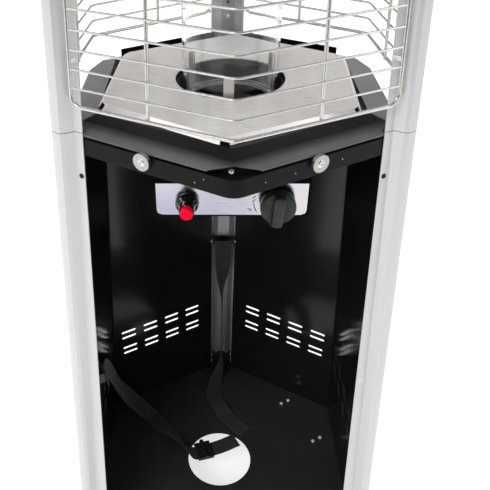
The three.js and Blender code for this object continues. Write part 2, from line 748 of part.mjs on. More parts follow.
function buildBurner() {
  const burner = new THREE.Group();
  burner.position.z = plateHeight;
  burner.rotation.z = plateTurn * DEG;
  heater.add(burner);

  const rim = -hoodPlatformDrop + gap;
  const bottom = -wellDepth;
  const bore = venturiRadius + gap;
  const pilotPlaces = [[-pilotSpacing, pilotRadius], [0, probeRadius],
    [pilotSpacing, ceramicRadius]];
  const pilotHoles = pilotPlaces.map(([x, radius]) =>
    disc(radius + gap, bottom - overrun, bottom + overrun, 10).translate([x, -pilotOrbit, 0]));
  add('burner_well', cut(turned([
    [bore, bottom - sheet], [wellRadius, bottom - sheet], [wellRadius, rim],
    [wellFlangeRadius, rim], [wellFlangeRadius, rim + sheet], [wellRadius - sheet, rim + sheet],
    [wellRadius - sheet, bottom], [bore, bottom]], 36), ...pilotHoles), blackSatin, burner);

  const headBottom = -headTopDrop - headHeight;
  const ports = Array.from({ length: headPortPairs }, (_, i) =>
    box(2 * headRadius + overrun, portWidth, portHeight, 0, 0, headBottom + headHeight / 2)
      .rotate([0, 0, i * 180 / headPortPairs]));
  add('burner_head', cut(turned([
    [bore, headBottom], [headRadius, headBottom], [headRadius, -headTopDrop], [0, -headTopDrop],
    [0, -headTopDrop - sheet], [headRadius - sheet, -headTopDrop - sheet],
    [headRadius - sheet, headBottom + sheet], [bore, headBottom + sheet]], 30), ...ports),
  brightSteel, burner);

  const venturiEnd = headBottom - venturiLength;
  const air = [0, 90].map((turn) =>
    box(2 * venturiRadius + overrun, airPortWidth, airPortHeight, 0, 0,
      venturiEnd + jetHolderHeight + airPortHeight).rotate([0, 0, turn + 45]));
  add('burner_venturi', cut(turned([
    [0, venturiEnd], [venturiRadius, venturiEnd], [venturiRadius, headBottom + venturiTop],
    [venturiBore, headBottom + venturiTop], [venturiBore, venturiEnd + jetHolderHeight],
    [0, venturiEnd + jetHolderHeight]], 24), ...air), zinc, burner);

  const upright = (name, profile, x, material) => {
    add(name, turned(profile, 10), material, burner).position.set(x, -pilotOrbit, 0);
  };
  const tail = bottom - pilotTail;
  upright('pilot_burner', [[0, tail], [pilotRadius, tail], [pilotRadius, -pilotTopDrop],
    [0, -pilotTopDrop]], -pilotSpacing, brass);
  upright('thermocouple', [[0, tail], [probeRadius, tail], [probeRadius, -pilotTopDrop],
    [0, -pilotTopDrop + probeRadius]], 0, copper);
  upright('spark_electrode', [[0, tail], [ceramicRadius, tail],
    [ceramicRadius, -ceramicTopDrop], [tipRadius, -ceramicTopDrop], [tipRadius, -pilotTopDrop],
    [0, -pilotTopDrop]], pilotSpacing, ceramic);

  const seatOuter = wellRadius - sheet - 2 * gap;
  const clipCentre = tubeRadius + gap + clipSheet / 2 + gap;
  const clipBase = -seatDrop + seatThickness / 2;
  const clips = Object.values(BENDS).map((azimuth) =>
    box(clipSheet, clipWidth, clipRise - clipBase, clipCentre, 0, (clipRise + clipBase) / 2)
      .rotate([0, 0, azimuth]));
  add('tube_seat', join(ring(seatOuter - seatWidth, seatOuter, -seatDrop,
    -seatDrop + seatThickness, 48), ...clips), brightSteel, burner);
  add('glass_tube', ring(tubeRadius - tubeWall, tubeRadius, -seatDrop + seatThickness + gap,
    exposedHeight + tubeTopRise, 48), glass, burner);
  add('tube_top_ring', ring(tubeRadius + gap, tubeRadius + gap + ringWidth,
    exposedHeight + gap, exposedHeight + gap + ringHeight, 36), zinc, burner);
}

// Control panel: local X runs to the right, Y up and Z out of the fascia

function buildControls() {
  const controls = new THREE.Group();
  controls.position.set(0, -fasciaFront, plateHeight - controlDrop);
  controls.rotation.x = Math.PI / 2;
  heater.add(controls);

  const fasciaMiddle = fasciaTop - fasciaHeight / 2;
  const through = (x, radius) => disc(radius, -4 * overrun, overrun, 20).translate([x, 0, 0]);
  const holes = [through(knobAcross, spindleHole),
    through(igniterAcross, igniterShankRadius + gap)];
  add('control_fascia', cut(box(fasciaWidth, fasciaHeight, fasciaSheet, 0, fasciaMiddle,
    -fasciaSheet / 2), ...holes), brightSteel, controls);

  const face = -fasciaSheet - gap;
  const wide = fasciaWidth + 2 * bracketBorder;
  const tall = fasciaHeight + 2 * bracketBorder;
  const low = fasciaMiddle - tall / 2;
  const hangerTop = controlDrop - hoodPlatformDrop - sheet - gap;
  add('control_bracket', cut(join(
    box(wide, tall, sheet, 0, fasciaMiddle, face - sheet / 2),
    box(hangerWidth, hangerTop - low, sheet, 0, (hangerTop + low) / 2, face - sheet / 2),
    box(hangerWidth, sheet, hangerDepth, 0, hangerTop - sheet / 2, face - hangerDepth / 2),
    box(sheet, tall, bracketSide, (sheet - wide) / 2, fasciaMiddle, face - bracketSide / 2),
    box(sheet, tall, bracketSide, (wide - sheet) / 2, fasciaMiddle, face - bracketSide / 2),
    box(wide, sheet, bracketSide, 0, low + sheet / 2, face - bracketSide / 2)), ...holes),
  blackSatin, controls);

  const valveFront = face - sheet - gap;
  const valve = box(valveWidth, valveTall, valveLength, knobAcross, 0,
    valveFront - valveLength / 2);
  const socketEnd = valveFront - spindleBack - pushTravel - gap;
  const socket = disc(spindleRadius + gap, socketEnd, overrun, 16).translate([knobAcross, 0, 0]);
  add('gas_valve', cut(valve, socket), brass, controls);
  add('valve_spindle', disc(spindleRadius, valveFront - spindleBack, spindleFront, 16),
    zinc, controls).position.x = knobAcross;

  const discFront = knobStandoff + knobDisc;
  const grip = box(gripWidth, 2 * gripRadius, knobDisc / 2 + gripDepth, 0, 0,
    discFront + gripDepth / 2 - knobDisc / 4);
  const knobBore = disc(spindleRadius + gap, 0, spindleFront + gap, 16);
  const knobBody = turned([[0, knobStandoff], [knobRadius, knobStandoff],
    [knobRadius, discFront - (knobRadius - knobFaceRadius)], [knobFaceRadius, discFront],
    [0, discFront]], 36);
  add('gas_knob', cut(join(knobBody, grip), knobBore), blackPlastic, controls)
    .position.x = knobAcross;

  const buttonFront = barrelLength + buttonStand;
  const buttonBack = buttonFront - buttonLength;
  const bore = buttonRadius + gap;
  const boreEnd = buttonBack - buttonTravel - gap;
  const collarTaper = collarRadius - barrelRadius;
  add('igniter_body', turned([
    [0, -igniterShankLength], [igniterShankRadius, -igniterShankLength],
    [igniterShankRadius, gap], [collarRadius, gap],
    [collarRadius, collarLength - collarTaper], [barrelRadius, collarLength],
    [barrelRadius, barrelLength], [bore, barrelLength], [bore, boreEnd], [0, boreEnd]], 24),
  blackPlastic, controls).position.x = igniterAcross;
  add('igniter_button', turned([[0, buttonBack], [buttonRadius, buttonBack],
    [buttonRadius, buttonFront - buttonRound], [buttonRadius - buttonRound, buttonFront],
    [0, buttonFront]], 24), redPlastic, controls).position.x = igniterAcross;

  add('tilt_switch', box(switchWidth, switchTall, switchDepth, 0, 0,
    valveFront - switchDepth / 2), blackSatin, controls);

  const nippleTop = -valveTall / 2 - gap;
  const nippleDepth = valveFront - valveLength / 2;
  const barbs = [1, 2, 3].flatMap((i) => [
    [nippleRadius, nippleTop - i * nippleLength / 4],
    [nippleRadius + nippleBarb, nippleTop - i * nippleLength / 4 - nippleBarb]]);
  const nipple = turned([[0, nippleTop], [nippleRadius + nippleBarb, nippleTop],
    [nippleRadius + nippleBarb, nippleTop - nippleBarb], [nippleRadius, nippleTop - nippleBarb],
    ...barbs, [nippleRadius - nippleBarb, nippleTop - nippleLength],
    [0, nippleTop - nippleLength]], 12).rotate([-90, 0, 0]);
  add('gas_inlet_nipple', nipple, brass, controls).position.set(knobAcross, 0, nippleDepth);
}

function buildPipes() {
  const turn = plateTurn * DEG;
  const place = (x, y) => [x * Math.cos(turn) - y * Math.sin(turn),
    x * Math.sin(turn) + y * Math.cos(turn)];
  const valveBack = -fasciaFront + fasciaSheet + sheet + 3 * gap + valveLength;
  const valveHeight = plateHeight - controlDrop;
  const jetHeight = plateHeight - headTopDrop - headHeight - venturiLength + jetHolderHeight / 2;
  const jet = place(0, -venturiRadius - gap);
  const start = valveBack + gap;
  const middle = [
    [knobAcross, start, valveHeight - 2 * pipeRadius],
    [knobAcross, start + 4 * pipeRadius, valveHeight - 3 * pipeRadius],
    [knobAcross / 2, -venturiRadius - 8 * pipeRadius, jetHeight + 3 * pipeRadius],
    [jet[0], jet[1] - 4 * pipeRadius, jetHeight]];
  const run = smooth(middle, 12);
  add('burner_gas_pipe', bar([run[0], [knobAcross, start + pipeRadius, run[0][2]],
    ...run.slice(2), [...jet, jetHeight]], pipeRadius, 8), brass);

  const foot = plateHeight - wellDepth - pilotTail - gap;
  const pilot = place(-pilotSpacing, -pilotOrbit);
  const pilotRun = smooth([
    [knobAcross - 2 * pipeRadius, start, valveHeight + 2 * pipeRadius],
    [knobAcross - 3 * pipeRadius, start + 3 * pipeRadius, valveHeight + pipeRadius],
    [pilotSpacing, pilot[1] - 3 * pipeRadius, foot - 3 * pipeRadius],
    [pilot[0], pilot[1], foot - 3 * pipeRadius]], 12);
  add('pilot_gas_pipe', bar([pilotRun[0], [pilotRun[0][0], start + pipeRadius, pilotRun[0][2]],
    ...pilotRun.slice(2), [...pilot, foot]], pilotPipeRadius, 8), copper);
}

// Wire guards: one on each side, bent at the corner between two posts

function guardCorners(bend, z) {
  const rise = z - plateHeight - guardBottomRise;
  const vertex = polar(bend, guardBendRadius - guardLeanShare * rise, 0);
  return [behindSkin(bend - 60, 1, z, guardAcross, -guardStand), vertex,
    behindSkin(bend + 60, -1, z, guardAcross, -guardStand)];
}

function between(a, b, share) {
  return a.map((value, i) => value + (b[i] - value) * share);
}

function buildGuards() {
  const bottom = plateHeight + guardBottomRise;
  const top = bottom + (guardWires + 1) * guardPitch;
  for (const [place, bend] of Object.entries(BENDS)) {
    const at = (z) => guardCorners(bend, z).map((p) => [...p, z]);
    const low = at(bottom);
    const high = at(top);
    const lowIn = at(bottom + guardCorner);
    const highIn = at(top - guardCorner);
    const share = guardCorner / Math.hypot(low[1][0] - low[0][0], low[1][1] - low[0][1]);
    const frame = bar([
      between(low[0], low[1], share), low[1], between(low[2], low[1], share), lowIn[2],
      highIn[2], between(high[2], high[1], share), high[1], between(high[0], high[1], share),
      highIn[0], lowIn[0]], frameRodRadius, 4, true);
    const wires = Array.from({ length: guardWires }, (_, i) =>
      bar(at(bottom + (i + 1) * guardPitch), wireRadius, 4));
    const stand = (frameRodRadius + wireRadius) * Math.SQRT1_2 + gap;
    const uprights = [[0, bend - 30], [2, bend + 30]].map(([end, facing]) => {
      const behind = ([x, y, z]) => {
        const [dx, dy] = polar(facing, stand, 0);
        return [x - dx, y - dy, z];
      };
      return bar([between(low[1], low[end], guardRodShare),
        between(high[1], high[end], guardRodShare)].map(behind), frameRodRadius, 4, false,
      [...polar(facing, 1, 0), 0]);
    });
    const lugs = [bottom + lugInset, top - lugInset - lugHeight].flatMap((z) =>
      [[bend - 60, 1], [bend + 60, -1]].map(([azimuth, edge]) => leaning((height) => {
        const near = guardAcross - lugReach / 2;
        const far = guardAcross + lugReach / 2;
        const corners = [[near, -guardStand], [far, -guardStand], [far, -gap], [near, -gap]];
        return corners.map(([t, d]) => behindSkin(azimuth, edge, height, t, d));
      }, z, z + lugHeight)));
    add(`guard_${place}`, wasm.Manifold.union([frame, ...wires, ...uprights, ...lugs]),
      brightSteel);
  }
}

// Top plate, spacers and roof

function buildTop() {
  const edge = (inset) => (z) => {
    const apothem = skinAt(z) - coverWall - gap - inset;
    return hexagon(apothem, apothem / COS30 - trayCorner);
  };
  add('top_plate', cut(
    leaning(edge(0), topHeight - topPlateSkirt, topHeight),
    leaning(edge(sheet), topHeight - topPlateSkirt - overrun, topHeight - sheet),
    disc(topHoleRadius, topHeight - topPlateSkirt, topHeight + overrun, 48),
    ...postNotch(topHeight - topPlateSkirt - overrun, topHeight + overrun)), blackGloss);

  const eaves = topHeight + roofRise;
  const shell = (lower, inset) => loft([
    [eaves - roofSkirt, roofApothem - inset], [eaves, roofApothem - inset],
    [eaves + roofSlopeRise, roofTopApothem]].map(([z, apothem]) =>
    [z - lower, hexagon(apothem, apothem / COS30 - trayCorner)]));
  add('roof', cut(shell(0, 0), shell(sheet, sheet)), blackGloss);

  const hip = (roofApothem - sheet) / COS30 - trayCorner;
  const slope = roofSlopeRise / (hip - roofTopApothem / COS30 + trayCorner);
  const spacerTop = eaves - sheet + (hip - spacerOrbit - spacerRadius) * slope - gap;
  for (const [place, azimuth] of Object.entries(BENDS)) {
    const [x, y] = polar(azimuth, spacerOrbit, 0);
    add(`roof_spacer_${place}`, disc(spacerRadius, topHeight + gap, spacerTop, 16), zinc)
      .position.set(x, y, 0);
  }
}

// Bottle strap: rows of place and of the direction of its width, from bracket to loose end

const backStrapRoute = [
  [0, 207.4, -391, 1, 0, 0], [0, 207, -406, 1, 0, 0], [0, 207, -434, 1, 0.15, 0],
  [0, 206, -472, 0.7, 0.7, 0], [0, 206, -520, 0.1, 1, 0], [0, 207, -600, 0, 1, 0],
  [-1, 206, -665, 0, 1, 0], [-5, 194, -711, 0.6, 0.55, -0.55], [-13, 168, -733, 0.9, 0.3, -0.3],
  [-14, 144, -741, 1, 0, 0], [-6, 122, -736, 1, 0.1, 0], [10, 98, -742, 1, 0.3, 0],
  [28, 78, -743, 0.8, 0.6, 0], [46, 60, -743, 0.7, 0.7, 0],
];
const leftStrapRoute = [
  [-179.6, -103.7, -391, 0.5, -0.866, 0], [-178.8, -103.3, -408, 0.5, -0.866, 0],
  [-180, -86, -434, 0.4, -0.85, -0.3], [-187, -47, -457, 0.1, -0.8, -0.55],
  [-190, 0, -517, 0, -0.83, -0.55], [-187, 42, -598, 0.05, -0.85, -0.5],
  [-176, 72, -660, -0.3, -0.8, -0.45], [-160, 92, -710, -0.5, -0.8, -0.3],
  [-140, 92, -738, -0.68, -0.73, 0], [-118, 70, -742, -0.68, -0.73, 0],
  [-96, 44, -734, -0.5, -0.5, 0.5], [-74, 18, -730, -0.2, -0.5, 0.75],
  [-52, 8.6, -742, 0.29, -0.957, 0], [-34, 14, -743, 0.29, -0.957, 0],
  [-16, 19.4, -743, 0.29, -0.957, 0], [4, 28, -743, 0.4, -0.9, 0], [28, 41, -743, 0.5, -0.87, 0],
];

function ribbon(route) {
  const steps = 2 * (route.length - 1);
  const places = smooth(route.map((row) => row.slice(0, 3)), steps);
  const widths = smooth(route.map((row) => row.slice(3)), steps);
  const rings = places.map((place, i) => {
    const point = new THREE.Vector3(...place);
    const ahead = new THREE.Vector3(...(places[i + 1] ?? place));
    const along = ahead.sub(new THREE.Vector3(...(places[i - 1] ?? place))).normalize();
    const wide = new THREE.Vector3(...widths[i]);
    wide.addScaledVector(along, -wide.dot(along)).setLength(strapWidth / 2);
    const thick = new THREE.Vector3().crossVectors(along, wide).setLength(strapThickness / 2);
    return [[1, 1], [-1, 1], [-1, -1], [1, -1]].map(([w, t]) =>
      point.clone().addScaledVector(wide, w).addScaledVector(thick, t).toArray());
  });
  return skinned(rings, false, true).translate([0, 0, plateHeight]);
}

function buildStrap() {
  add('strap_back', ribbon(backStrapRoute), webbing);
  add('strap_left', ribbon(leftStrapRoute), webbing);
  const z = plateHeight - strapBracketDrop;
  for (const place of ['back', 'left']) {
    const outer = channelInner(z + strapBracketTall / 2) - gap;
    const reach = outer - strapBracketReach;
    const plate = (side) => box(strapBracketReach, sheet, strapBracketTall,
      (outer + reach) / 2, side * (strapWidth / 2 + 2 * strapBarRadius), z);
    const barHalf = strapWidth / 2 + 2 * strapBarRadius + sheet / 2;
    const crossBar = disc(strapBarRadius, -barHalf, barHalf, 8).rotate([90, 0, 0])
      .translate([reach, 0, z]);
    const web = box(sheet, 2 * barHalf, strapBracketTall, outer - sheet / 2, 0, z);
    add(`strap_bracket_${place}`, join(web, plate(-1), plate(1), crossBar)
      .rotate([0, 0, POSTS[place]]), zinc);
  }
  const tunnel = strapWidth + 2 * strapThickness;
  const buckle = cut(
    box(buckleLength, tunnel + 2 * buckleSheet, buckleTall, 0, 0, buckleTall / 2),
    box(buckleLength + overrun, tunnel, 2 * (buckleTall - buckleSheet), 0, 0, 0));
  const cam = disc(buckleCamRadius, -buckleWidth / 2, buckleWidth / 2, 16).rotate([90, 0, 0])
    .translate([0, 0, buckleTall + buckleSheet]);
  const mesh = add('strap_buckle', join(buckle, cam), zinc);
  mesh.position.set(buckleX, buckleY, floorHeight + gap);
  mesh.rotation.z = buckleTurn * DEG;
}

buildBase();
buildWheels();
buildPosts();
buildPanels();
buildHood();
buildBurner();
buildControls();
buildPipes();
buildGuards();
buildTop();
buildStrap();

// The origin stands on the ground under the middle of the whole heater.
const extent = new THREE.Box3().setFromObject(heater);
heater.position.y = -(extent.min.y + extent.max.y) / 2;

export default heater;
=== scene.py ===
import math

import bmesh
import bpy
from mathutils import Matrix, Vector


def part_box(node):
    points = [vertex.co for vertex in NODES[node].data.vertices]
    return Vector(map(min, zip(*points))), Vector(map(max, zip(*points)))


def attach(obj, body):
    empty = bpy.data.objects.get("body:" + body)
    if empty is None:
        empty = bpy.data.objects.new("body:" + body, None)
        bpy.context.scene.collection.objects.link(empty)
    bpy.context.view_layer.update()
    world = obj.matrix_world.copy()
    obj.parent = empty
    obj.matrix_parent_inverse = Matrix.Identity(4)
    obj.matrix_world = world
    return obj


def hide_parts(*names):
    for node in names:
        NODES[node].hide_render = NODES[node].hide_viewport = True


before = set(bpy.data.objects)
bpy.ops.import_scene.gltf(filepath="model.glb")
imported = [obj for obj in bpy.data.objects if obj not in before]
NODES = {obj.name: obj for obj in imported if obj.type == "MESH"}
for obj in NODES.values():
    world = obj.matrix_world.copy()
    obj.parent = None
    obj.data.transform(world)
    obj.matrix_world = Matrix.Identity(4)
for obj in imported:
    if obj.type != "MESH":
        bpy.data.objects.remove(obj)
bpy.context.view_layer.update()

MM = 0.001
COS30 = math.cos(math.radians(30))
TAN30 = math.tan(math.radians(30))

tube_low, tube_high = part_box("glass_tube")
AXIS_Y = (tube_low.y + tube_high.y) / 2
PLATE_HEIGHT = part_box("reflector_plate")[1].z
FLOOR_RISE = (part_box("base_tray")[1].z - PLATE_HEIGHT) / MM
POSTS = {"right": -30, "back": 90, "left": 210}
BENDS = {"front": -90, "right": 30, "left": 150}

# Corner posts and the skin between them, as the CAD has them
NOSE_RADIUS = 226.5
LEAN = 0.0647
NOSE_HALF = 14.5
NOSE_DEPTH = 20.5
PANEL_EDGE = 22.5
PANEL_INSET = 11.5
PANEL_SHEET = 1.2


def at(x, y, rise):
    return Vector((x * MM, y * MM + AXIS_Y, PLATE_HEIGHT + rise * MM))


def polar(azimuth, radial, across=0.0):
    c, s = math.cos(math.radians(azimuth)), math.sin(math.radians(azimuth))
    return radial * c - across * s, radial * s + across * c


def nose_at(rise):
    return NOSE_RADIUS - LEAN * rise


def skin_at(rise):
    return (nose_at(rise) - NOSE_DEPTH) * COS30 + NOSE_HALF / 2


def behind_skin(azimuth, side, rise, across, depth):
    """A plan point beside a post, so far across from its middle and so deep in the skin."""
    radial = nose_at(rise) - NOSE_DEPTH - (across - NOSE_HALF) * TAN30 - depth / COS30
    return polar(azimuth, radial, side * across)


def in_scene(name, data):
    """A new object that is linked into the scene."""
    thing = bpy.data.objects.new(name, data)
    bpy.context.scene.collection.objects.link(thing)
    return thing


# Camera, at the photograph's place and angle
PHOTO_PIXELS = 490
FOCAL_PIXELS = 649.61
CENTRE_PIXEL = 184.49
CAMERA_TURN = (-2.91, 35.73, -1.43)
CAMERA_PLACE = (-22.0, -759.3, 295.9)
SENSOR = 36


def make_camera():
    yaw, pitch, roll = (math.radians(angle) for angle in CAMERA_TURN)
    ahead = Vector((math.sin(yaw) * math.cos(pitch), math.cos(yaw) * math.cos(pitch),
                    -math.sin(pitch)))
    level = Vector((math.cos(yaw), -math.sin(yaw), 0))
    upright = level.cross(ahead)
    right = math.cos(roll) * level + math.sin(roll) * upright
    top = math.cos(roll) * upright - math.sin(roll) * level
    turn = Matrix((right, top, -ahead)).transposed().to_4x4()
    data = bpy.data.cameras.new("camera")
    data.sensor_width = SENSOR
    data.lens = FOCAL_PIXELS / PHOTO_PIXELS * SENSOR
    data.shift_x = (PHOTO_PIXELS / 2 - CENTRE_PIXEL) / PHOTO_PIXELS
    data.clip_start = 0.01
    data.clip_end = 50
    camera = in_scene("camera", data)
    camera.matrix_world = Matrix.Translation(at(*CAMERA_PLACE)) @ turn
    bpy.context.scene.camera = camera


make_camera()


# Node helpers
SOCKETS = {"value": "NodeSocketFloat", "count": "NodeSocketInt", "vector": "NodeSocketVector",
           "colour": "NodeSocketColor", "shape": "NodeSocketGeometry",
           "object": "NodeSocketObject", "material": "NodeSocketMaterial"}


def new_node(tree, kind, inputs=None, **settings):
    """A node with its settings and inputs; an input is a value or another node's socket."""
    node = tree.nodes.new(kind)
    for key, value in settings.items():
        setattr(node, key, value)
    for key, value in (inputs or {}).items():
        if isinstance(value, bpy.types.NodeSocket):
            tree.links.new(value, node.inputs[key])
        else:
            node.inputs[key].default_value = value
    return node


def new_group(name, kind, inputs, outputs):
    """A node group with named sockets, and the nodes that stand for its two ends."""
    tree = bpy.data.node_groups.new(name, kind)
    for in_out, rows in (("INPUT", inputs), ("OUTPUT", outputs)):
        for socket_name, socket_kind, *value in rows:
            socket = tree.interface.new_socket(socket_name, in_out=in_out,
                                               socket_type=SOCKETS[socket_kind])
            if value:
                socket.default_value = value[0]
    return tree, new_node(tree, "NodeGroupInput"), new_node(tree, "NodeGroupOutput")


def maths(tree, operation, a, b=0.0, c=0.0):
    return new_node(tree, "ShaderNodeMath", {0: a, 1: b, 2: c}, operation=operation).outputs[0]


def ramp(tree, value, low, high, to_low=0.0, to_high=1.0, **settings):
    node = new_node(tree, "ShaderNodeMapRange", {
        "Value": value, "From Min": low, "From Max": high, "To Min": to_low,
        "To Max": to_high}, **settings)
    return node.outputs["Result"]


def mixed(tree, factor, a, b):
    """A colour between two; the Mix node's colour sockets are its inputs 6 and 7."""
    node = new_node(tree, "ShaderNodeMix", {0: factor, 6: a, 7: b}, data_type="RGBA")
    return node.outputs[2]


def between(tree, factor, a, b):
    """A vector between two; the Mix node's vector sockets are its inputs 4 and 5."""
    node = new_node(tree, "ShaderNodeMix", {0: factor, 4: a, 5: b}, data_type="VECTOR")
    return node.outputs[1]


def noise(tree, vector, scale, detail=2.0, roughness=0.5):
    node = new_node(tree, "ShaderNodeTexNoise", {
        "Vector": vector, "Scale": scale, "Detail": detail, "Roughness": roughness})
    return node.outputs["Fac"]


def own_place(tree):
    return new_node(tree, "ShaderNodeTexCoord").outputs["Object"]


def split_axes(tree, vector):
    return new_node(tree, "ShaderNodeSeparateXYZ", {"Vector": vector}).outputs


def bump(tree, height, distance, strength):
    node = new_node(tree, "ShaderNodeBump", {
        "Height": height, "Distance": distance, "Strength": strength})
    return node.outputs["Normal"]


def put_out(tree, out, **results):
    """Links results to a group's outputs, or to a shader's inputs, of those names."""
    for name, socket in results.items():
        tree.links.new(socket, out.inputs[name.replace("_", " ")])


# Surface effects, as node groups
# Soft edge where the painted reflection begins on the hood's side slopes
PAINTED_REFLECTION_EDGE = 0.000625
SKIN_OUTPUTS = [("Colour", "colour"), ("Roughness", "value"), ("Normal", "vector")]


def make_paint_skin():
    """Powder-coat orange peel with a faint mottle and settled dust."""
    tree, given, out = new_group("paint_skin", "ShaderNodeTree", [
        ("Colour", "colour"), ("Roughness", "value", 0.3), ("Peel size", "value", 900.0),
        ("Peel depth", "value", 0.1), ("Mottle", "value", 0.1), ("Dust", "value", 0.1),
        ("Dust colour", "colour", (0.55, 0.54, 0.52, 1))], SKIN_OUTPUTS)
    place = own_place(tree)
    shade = ramp(tree, noise(tree, place, 9.0, 4.0, 0.6), 0.3, 0.7, -1.0, 1.0)
    bright = maths(tree, "MULTIPLY_ADD", shade, given.outputs["Mottle"], 1.0)
    tone = new_node(tree, "ShaderNodeHueSaturation",
                    {"Color": given.outputs["Colour"], "Value": bright}).outputs[0]
    specks = ramp(tree, noise(tree, place, 420.0, 3.0, 0.75), 0.66, 0.78)
    haze = ramp(tree, noise(tree, place, 26.0, 5.0, 0.65), 0.42, 0.8)
    facing = new_node(tree, "ShaderNodeNewGeometry").outputs["Normal"]
    lying = ramp(tree, split_axes(tree, facing)["Z"], 0.2, 1.0, 0.25, 1.0)
    dust_film_and_painted_reflection = maths(tree, "MULTIPLY_ADD", haze, 0.5, specks)
    dusty = maths(tree, "MULTIPLY", maths(tree, "MULTIPLY", dust_film_and_painted_reflection, lying),
                  given.outputs["Dust"])
    rubbed = maths(tree, "MULTIPLY_ADD", shade, 0.035, given.outputs["Roughness"])
    peel = noise(tree, place, given.outputs["Peel size"], 1.0, 0.4)
    put_out(tree, out, Colour=mixed(tree, dusty, tone, given.outputs["Dust colour"]),
            Roughness=maths(tree, "MULTIPLY_ADD", dusty, 0.6, rubbed),
            Normal=bump(tree, peel, 0.0002, given.outputs["Peel depth"]))
    return tree


def make_metal_skin():
    """Drawn or rolled grain, smudges and fine scratches on bare metal."""
    tree, given, out = new_group("metal_skin", "ShaderNodeTree", [
        ("Colour", "colour"), ("Roughness", "value", 0.2), ("Grain", "vector", (60, 900, 900)),
        ("Grain depth", "value", 0.1), ("Smudge", "value", 0.1), ("Tarnish", "value", 0.1),
        ("Tarnish colour", "colour", (0.3, 0.26, 0.2, 1))], SKIN_OUTPUTS)
    place = own_place(tree)
    drawn = new_node(tree, "ShaderNodeVectorMath", {0: place, 1: given.outputs["Grain"]},
                     operation="MULTIPLY").outputs[0]
    grain = noise(tree, drawn, 1.0, 3.0, 0.6)
    smear = ramp(tree, noise(tree, place, 17.0, 3.0, 0.55), 0.35, 0.7)
    stain = ramp(tree, noise(tree, place, 40.0, 5.0, 0.7), 0.5, 0.75)
    spoiled = maths(tree, "MULTIPLY", stain, given.outputs["Tarnish"])
    smudged = maths(tree, "MULTIPLY", smear, given.outputs["Smudge"])
    scored = maths(tree, "MULTIPLY_ADD", ramp(tree, grain, 0.3, 0.7, -0.5, 0.5),
                   maths(tree, "MULTIPLY", given.outputs["Roughness"], 0.5), smudged)
    put_out(tree, out, Colour=mixed(tree, spoiled, given.outputs["Colour"],
                                    given.outputs["Tarnish colour"]),
            Roughness=maths(tree, "ADD", scored, given.outputs["Roughness"]),
            Normal=bump(tree, grain, 0.0001, given.outputs["Grain depth"]))
    return tree


def make_moulded_skin():
    """Fine spark-eroded grain on moulded plastic, rubber and ceramic."""
    tree, given, out = new_group("moulded_skin", "ShaderNodeTree", [
        ("Colour", "colour"), ("Roughness", "value", 0.4), ("Grain size", "value", 1500.0),
        ("Grain depth", "value", 0.1), ("Bloom", "value", 0.1),
        ("Bloom colour", "colour", (0.4, 0.4, 0.4, 1))], SKIN_OUTPUTS)
    place = own_place(tree)
    cloud = ramp(tree, noise(tree, place, 60.0, 4.0, 0.6), 0.35, 0.7)
    bloom = maths(tree, "MULTIPLY", cloud, given.outputs["Bloom"])
    pits = noise(tree, place, given.outputs["Grain size"], 2.0, 0.6)
    put_out(tree, out, Colour=mixed(tree, bloom, given.outputs["Colour"],
                                    given.outputs["Bloom colour"]),
            Roughness=maths(tree, "ADD", given.outputs["Roughness"], bloom),
            Normal=bump(tree, pits, 0.0001, given.outputs["Grain depth"]))
    return tree


def make_painted_slope_reflection():
    """Painted reflection on the hood: a grey tint, even on its side slopes and thickening down
    its front ones, standing in for the room mirrored in the gloss paint.
    """
    tree, given, out = new_group("painted_slope_reflection", "ShaderNodeTree", [
        ("Colour", "colour"), ("Painted reflection colour", "colour", (0.15, 0.15, 0.15, 1)),
        ("Side start", "value", 0.1505), ("Front start", "value", 0.164),
        ("Front end", "value", 0.182), ("Front share", "value", 0.85)],
        [("Colour", "colour")])
    spot = own_place(tree)
    place = split_axes(tree, spot)
    facing = split_axes(tree, new_node(tree, "ShaderNodeNewGeometry").outputs["True Normal"])
    aside = maths(tree, "ABSOLUTE", place["X"])
    sideways = ramp(tree, maths(tree, "ABSOLUTE", facing["X"]), 0.2, 0.27)
    past = maths(tree, "SUBTRACT", aside, given.outputs["Side start"])
    side = maths(tree, "MULTIPLY", ramp(tree, past, -PAINTED_REFLECTION_EDGE, PAINTED_REFLECTION_EDGE), sideways)
    ahead = maths(tree, "MULTIPLY_ADD", maths(tree, "SUBTRACT", place["Y"], AXIS_Y), -COS30,
                  maths(tree, "MULTIPLY", aside, 0.5))
    down = ramp(tree, ahead, given.outputs["Front start"], given.outputs["Front end"],
                interpolation_type="SMOOTHSTEP")
    forward = ramp(tree, maths(tree, "MULTIPLY", facing["Y"], -1.0), 0.12, 0.2)
    front = maths(tree, "MULTIPLY", maths(tree, "MULTIPLY", down, forward),
                  given.outputs["Front share"])
    cloud = ramp(tree, noise(tree, spot, 14.0, 3.0, 0.5), 0.3, 0.7, 0.75, 1.0)
    share = maths(tree, "MULTIPLY", maths(tree, "ADD", side, front), cloud)
    put_out(tree, out, Colour=mixed(tree, share, given.outputs["Colour"],
                                    given.outputs["Painted reflection colour"]))
    return tree


PAINT_SKIN = make_paint_skin()
METAL_SKIN = make_metal_skin()
MOULDED_SKIN = make_moulded_skin()
PAINTED_SLOPE_REFLECTION = make_painted_slope_reflection()


# Finishes
def new_material(name, shader=None):
    """A material, its node tree and its Principled shader with its own constant values."""
    material = bpy.data.materials.new(name)
    material.use_nodes = True
    principled = material.node_tree.nodes["Principled BSDF"]
    for key, value in (shader or {}).items():
        principled.inputs[key].default_value = value
    return material, material.node_tree, principled


def finish(name, skin, effect, shader):
    """A material: a skin group with its own values feeding a Principled shader."""
    material, tree, principled = new_material(name, shader)
    group = new_node(tree, "ShaderNodeGroup", effect, node_tree=skin)
    put_out(tree, principled, Base_Color=group.outputs["Colour"],
            Roughness=group.outputs["Roughness"], Normal=group.outputs["Normal"])
    return material


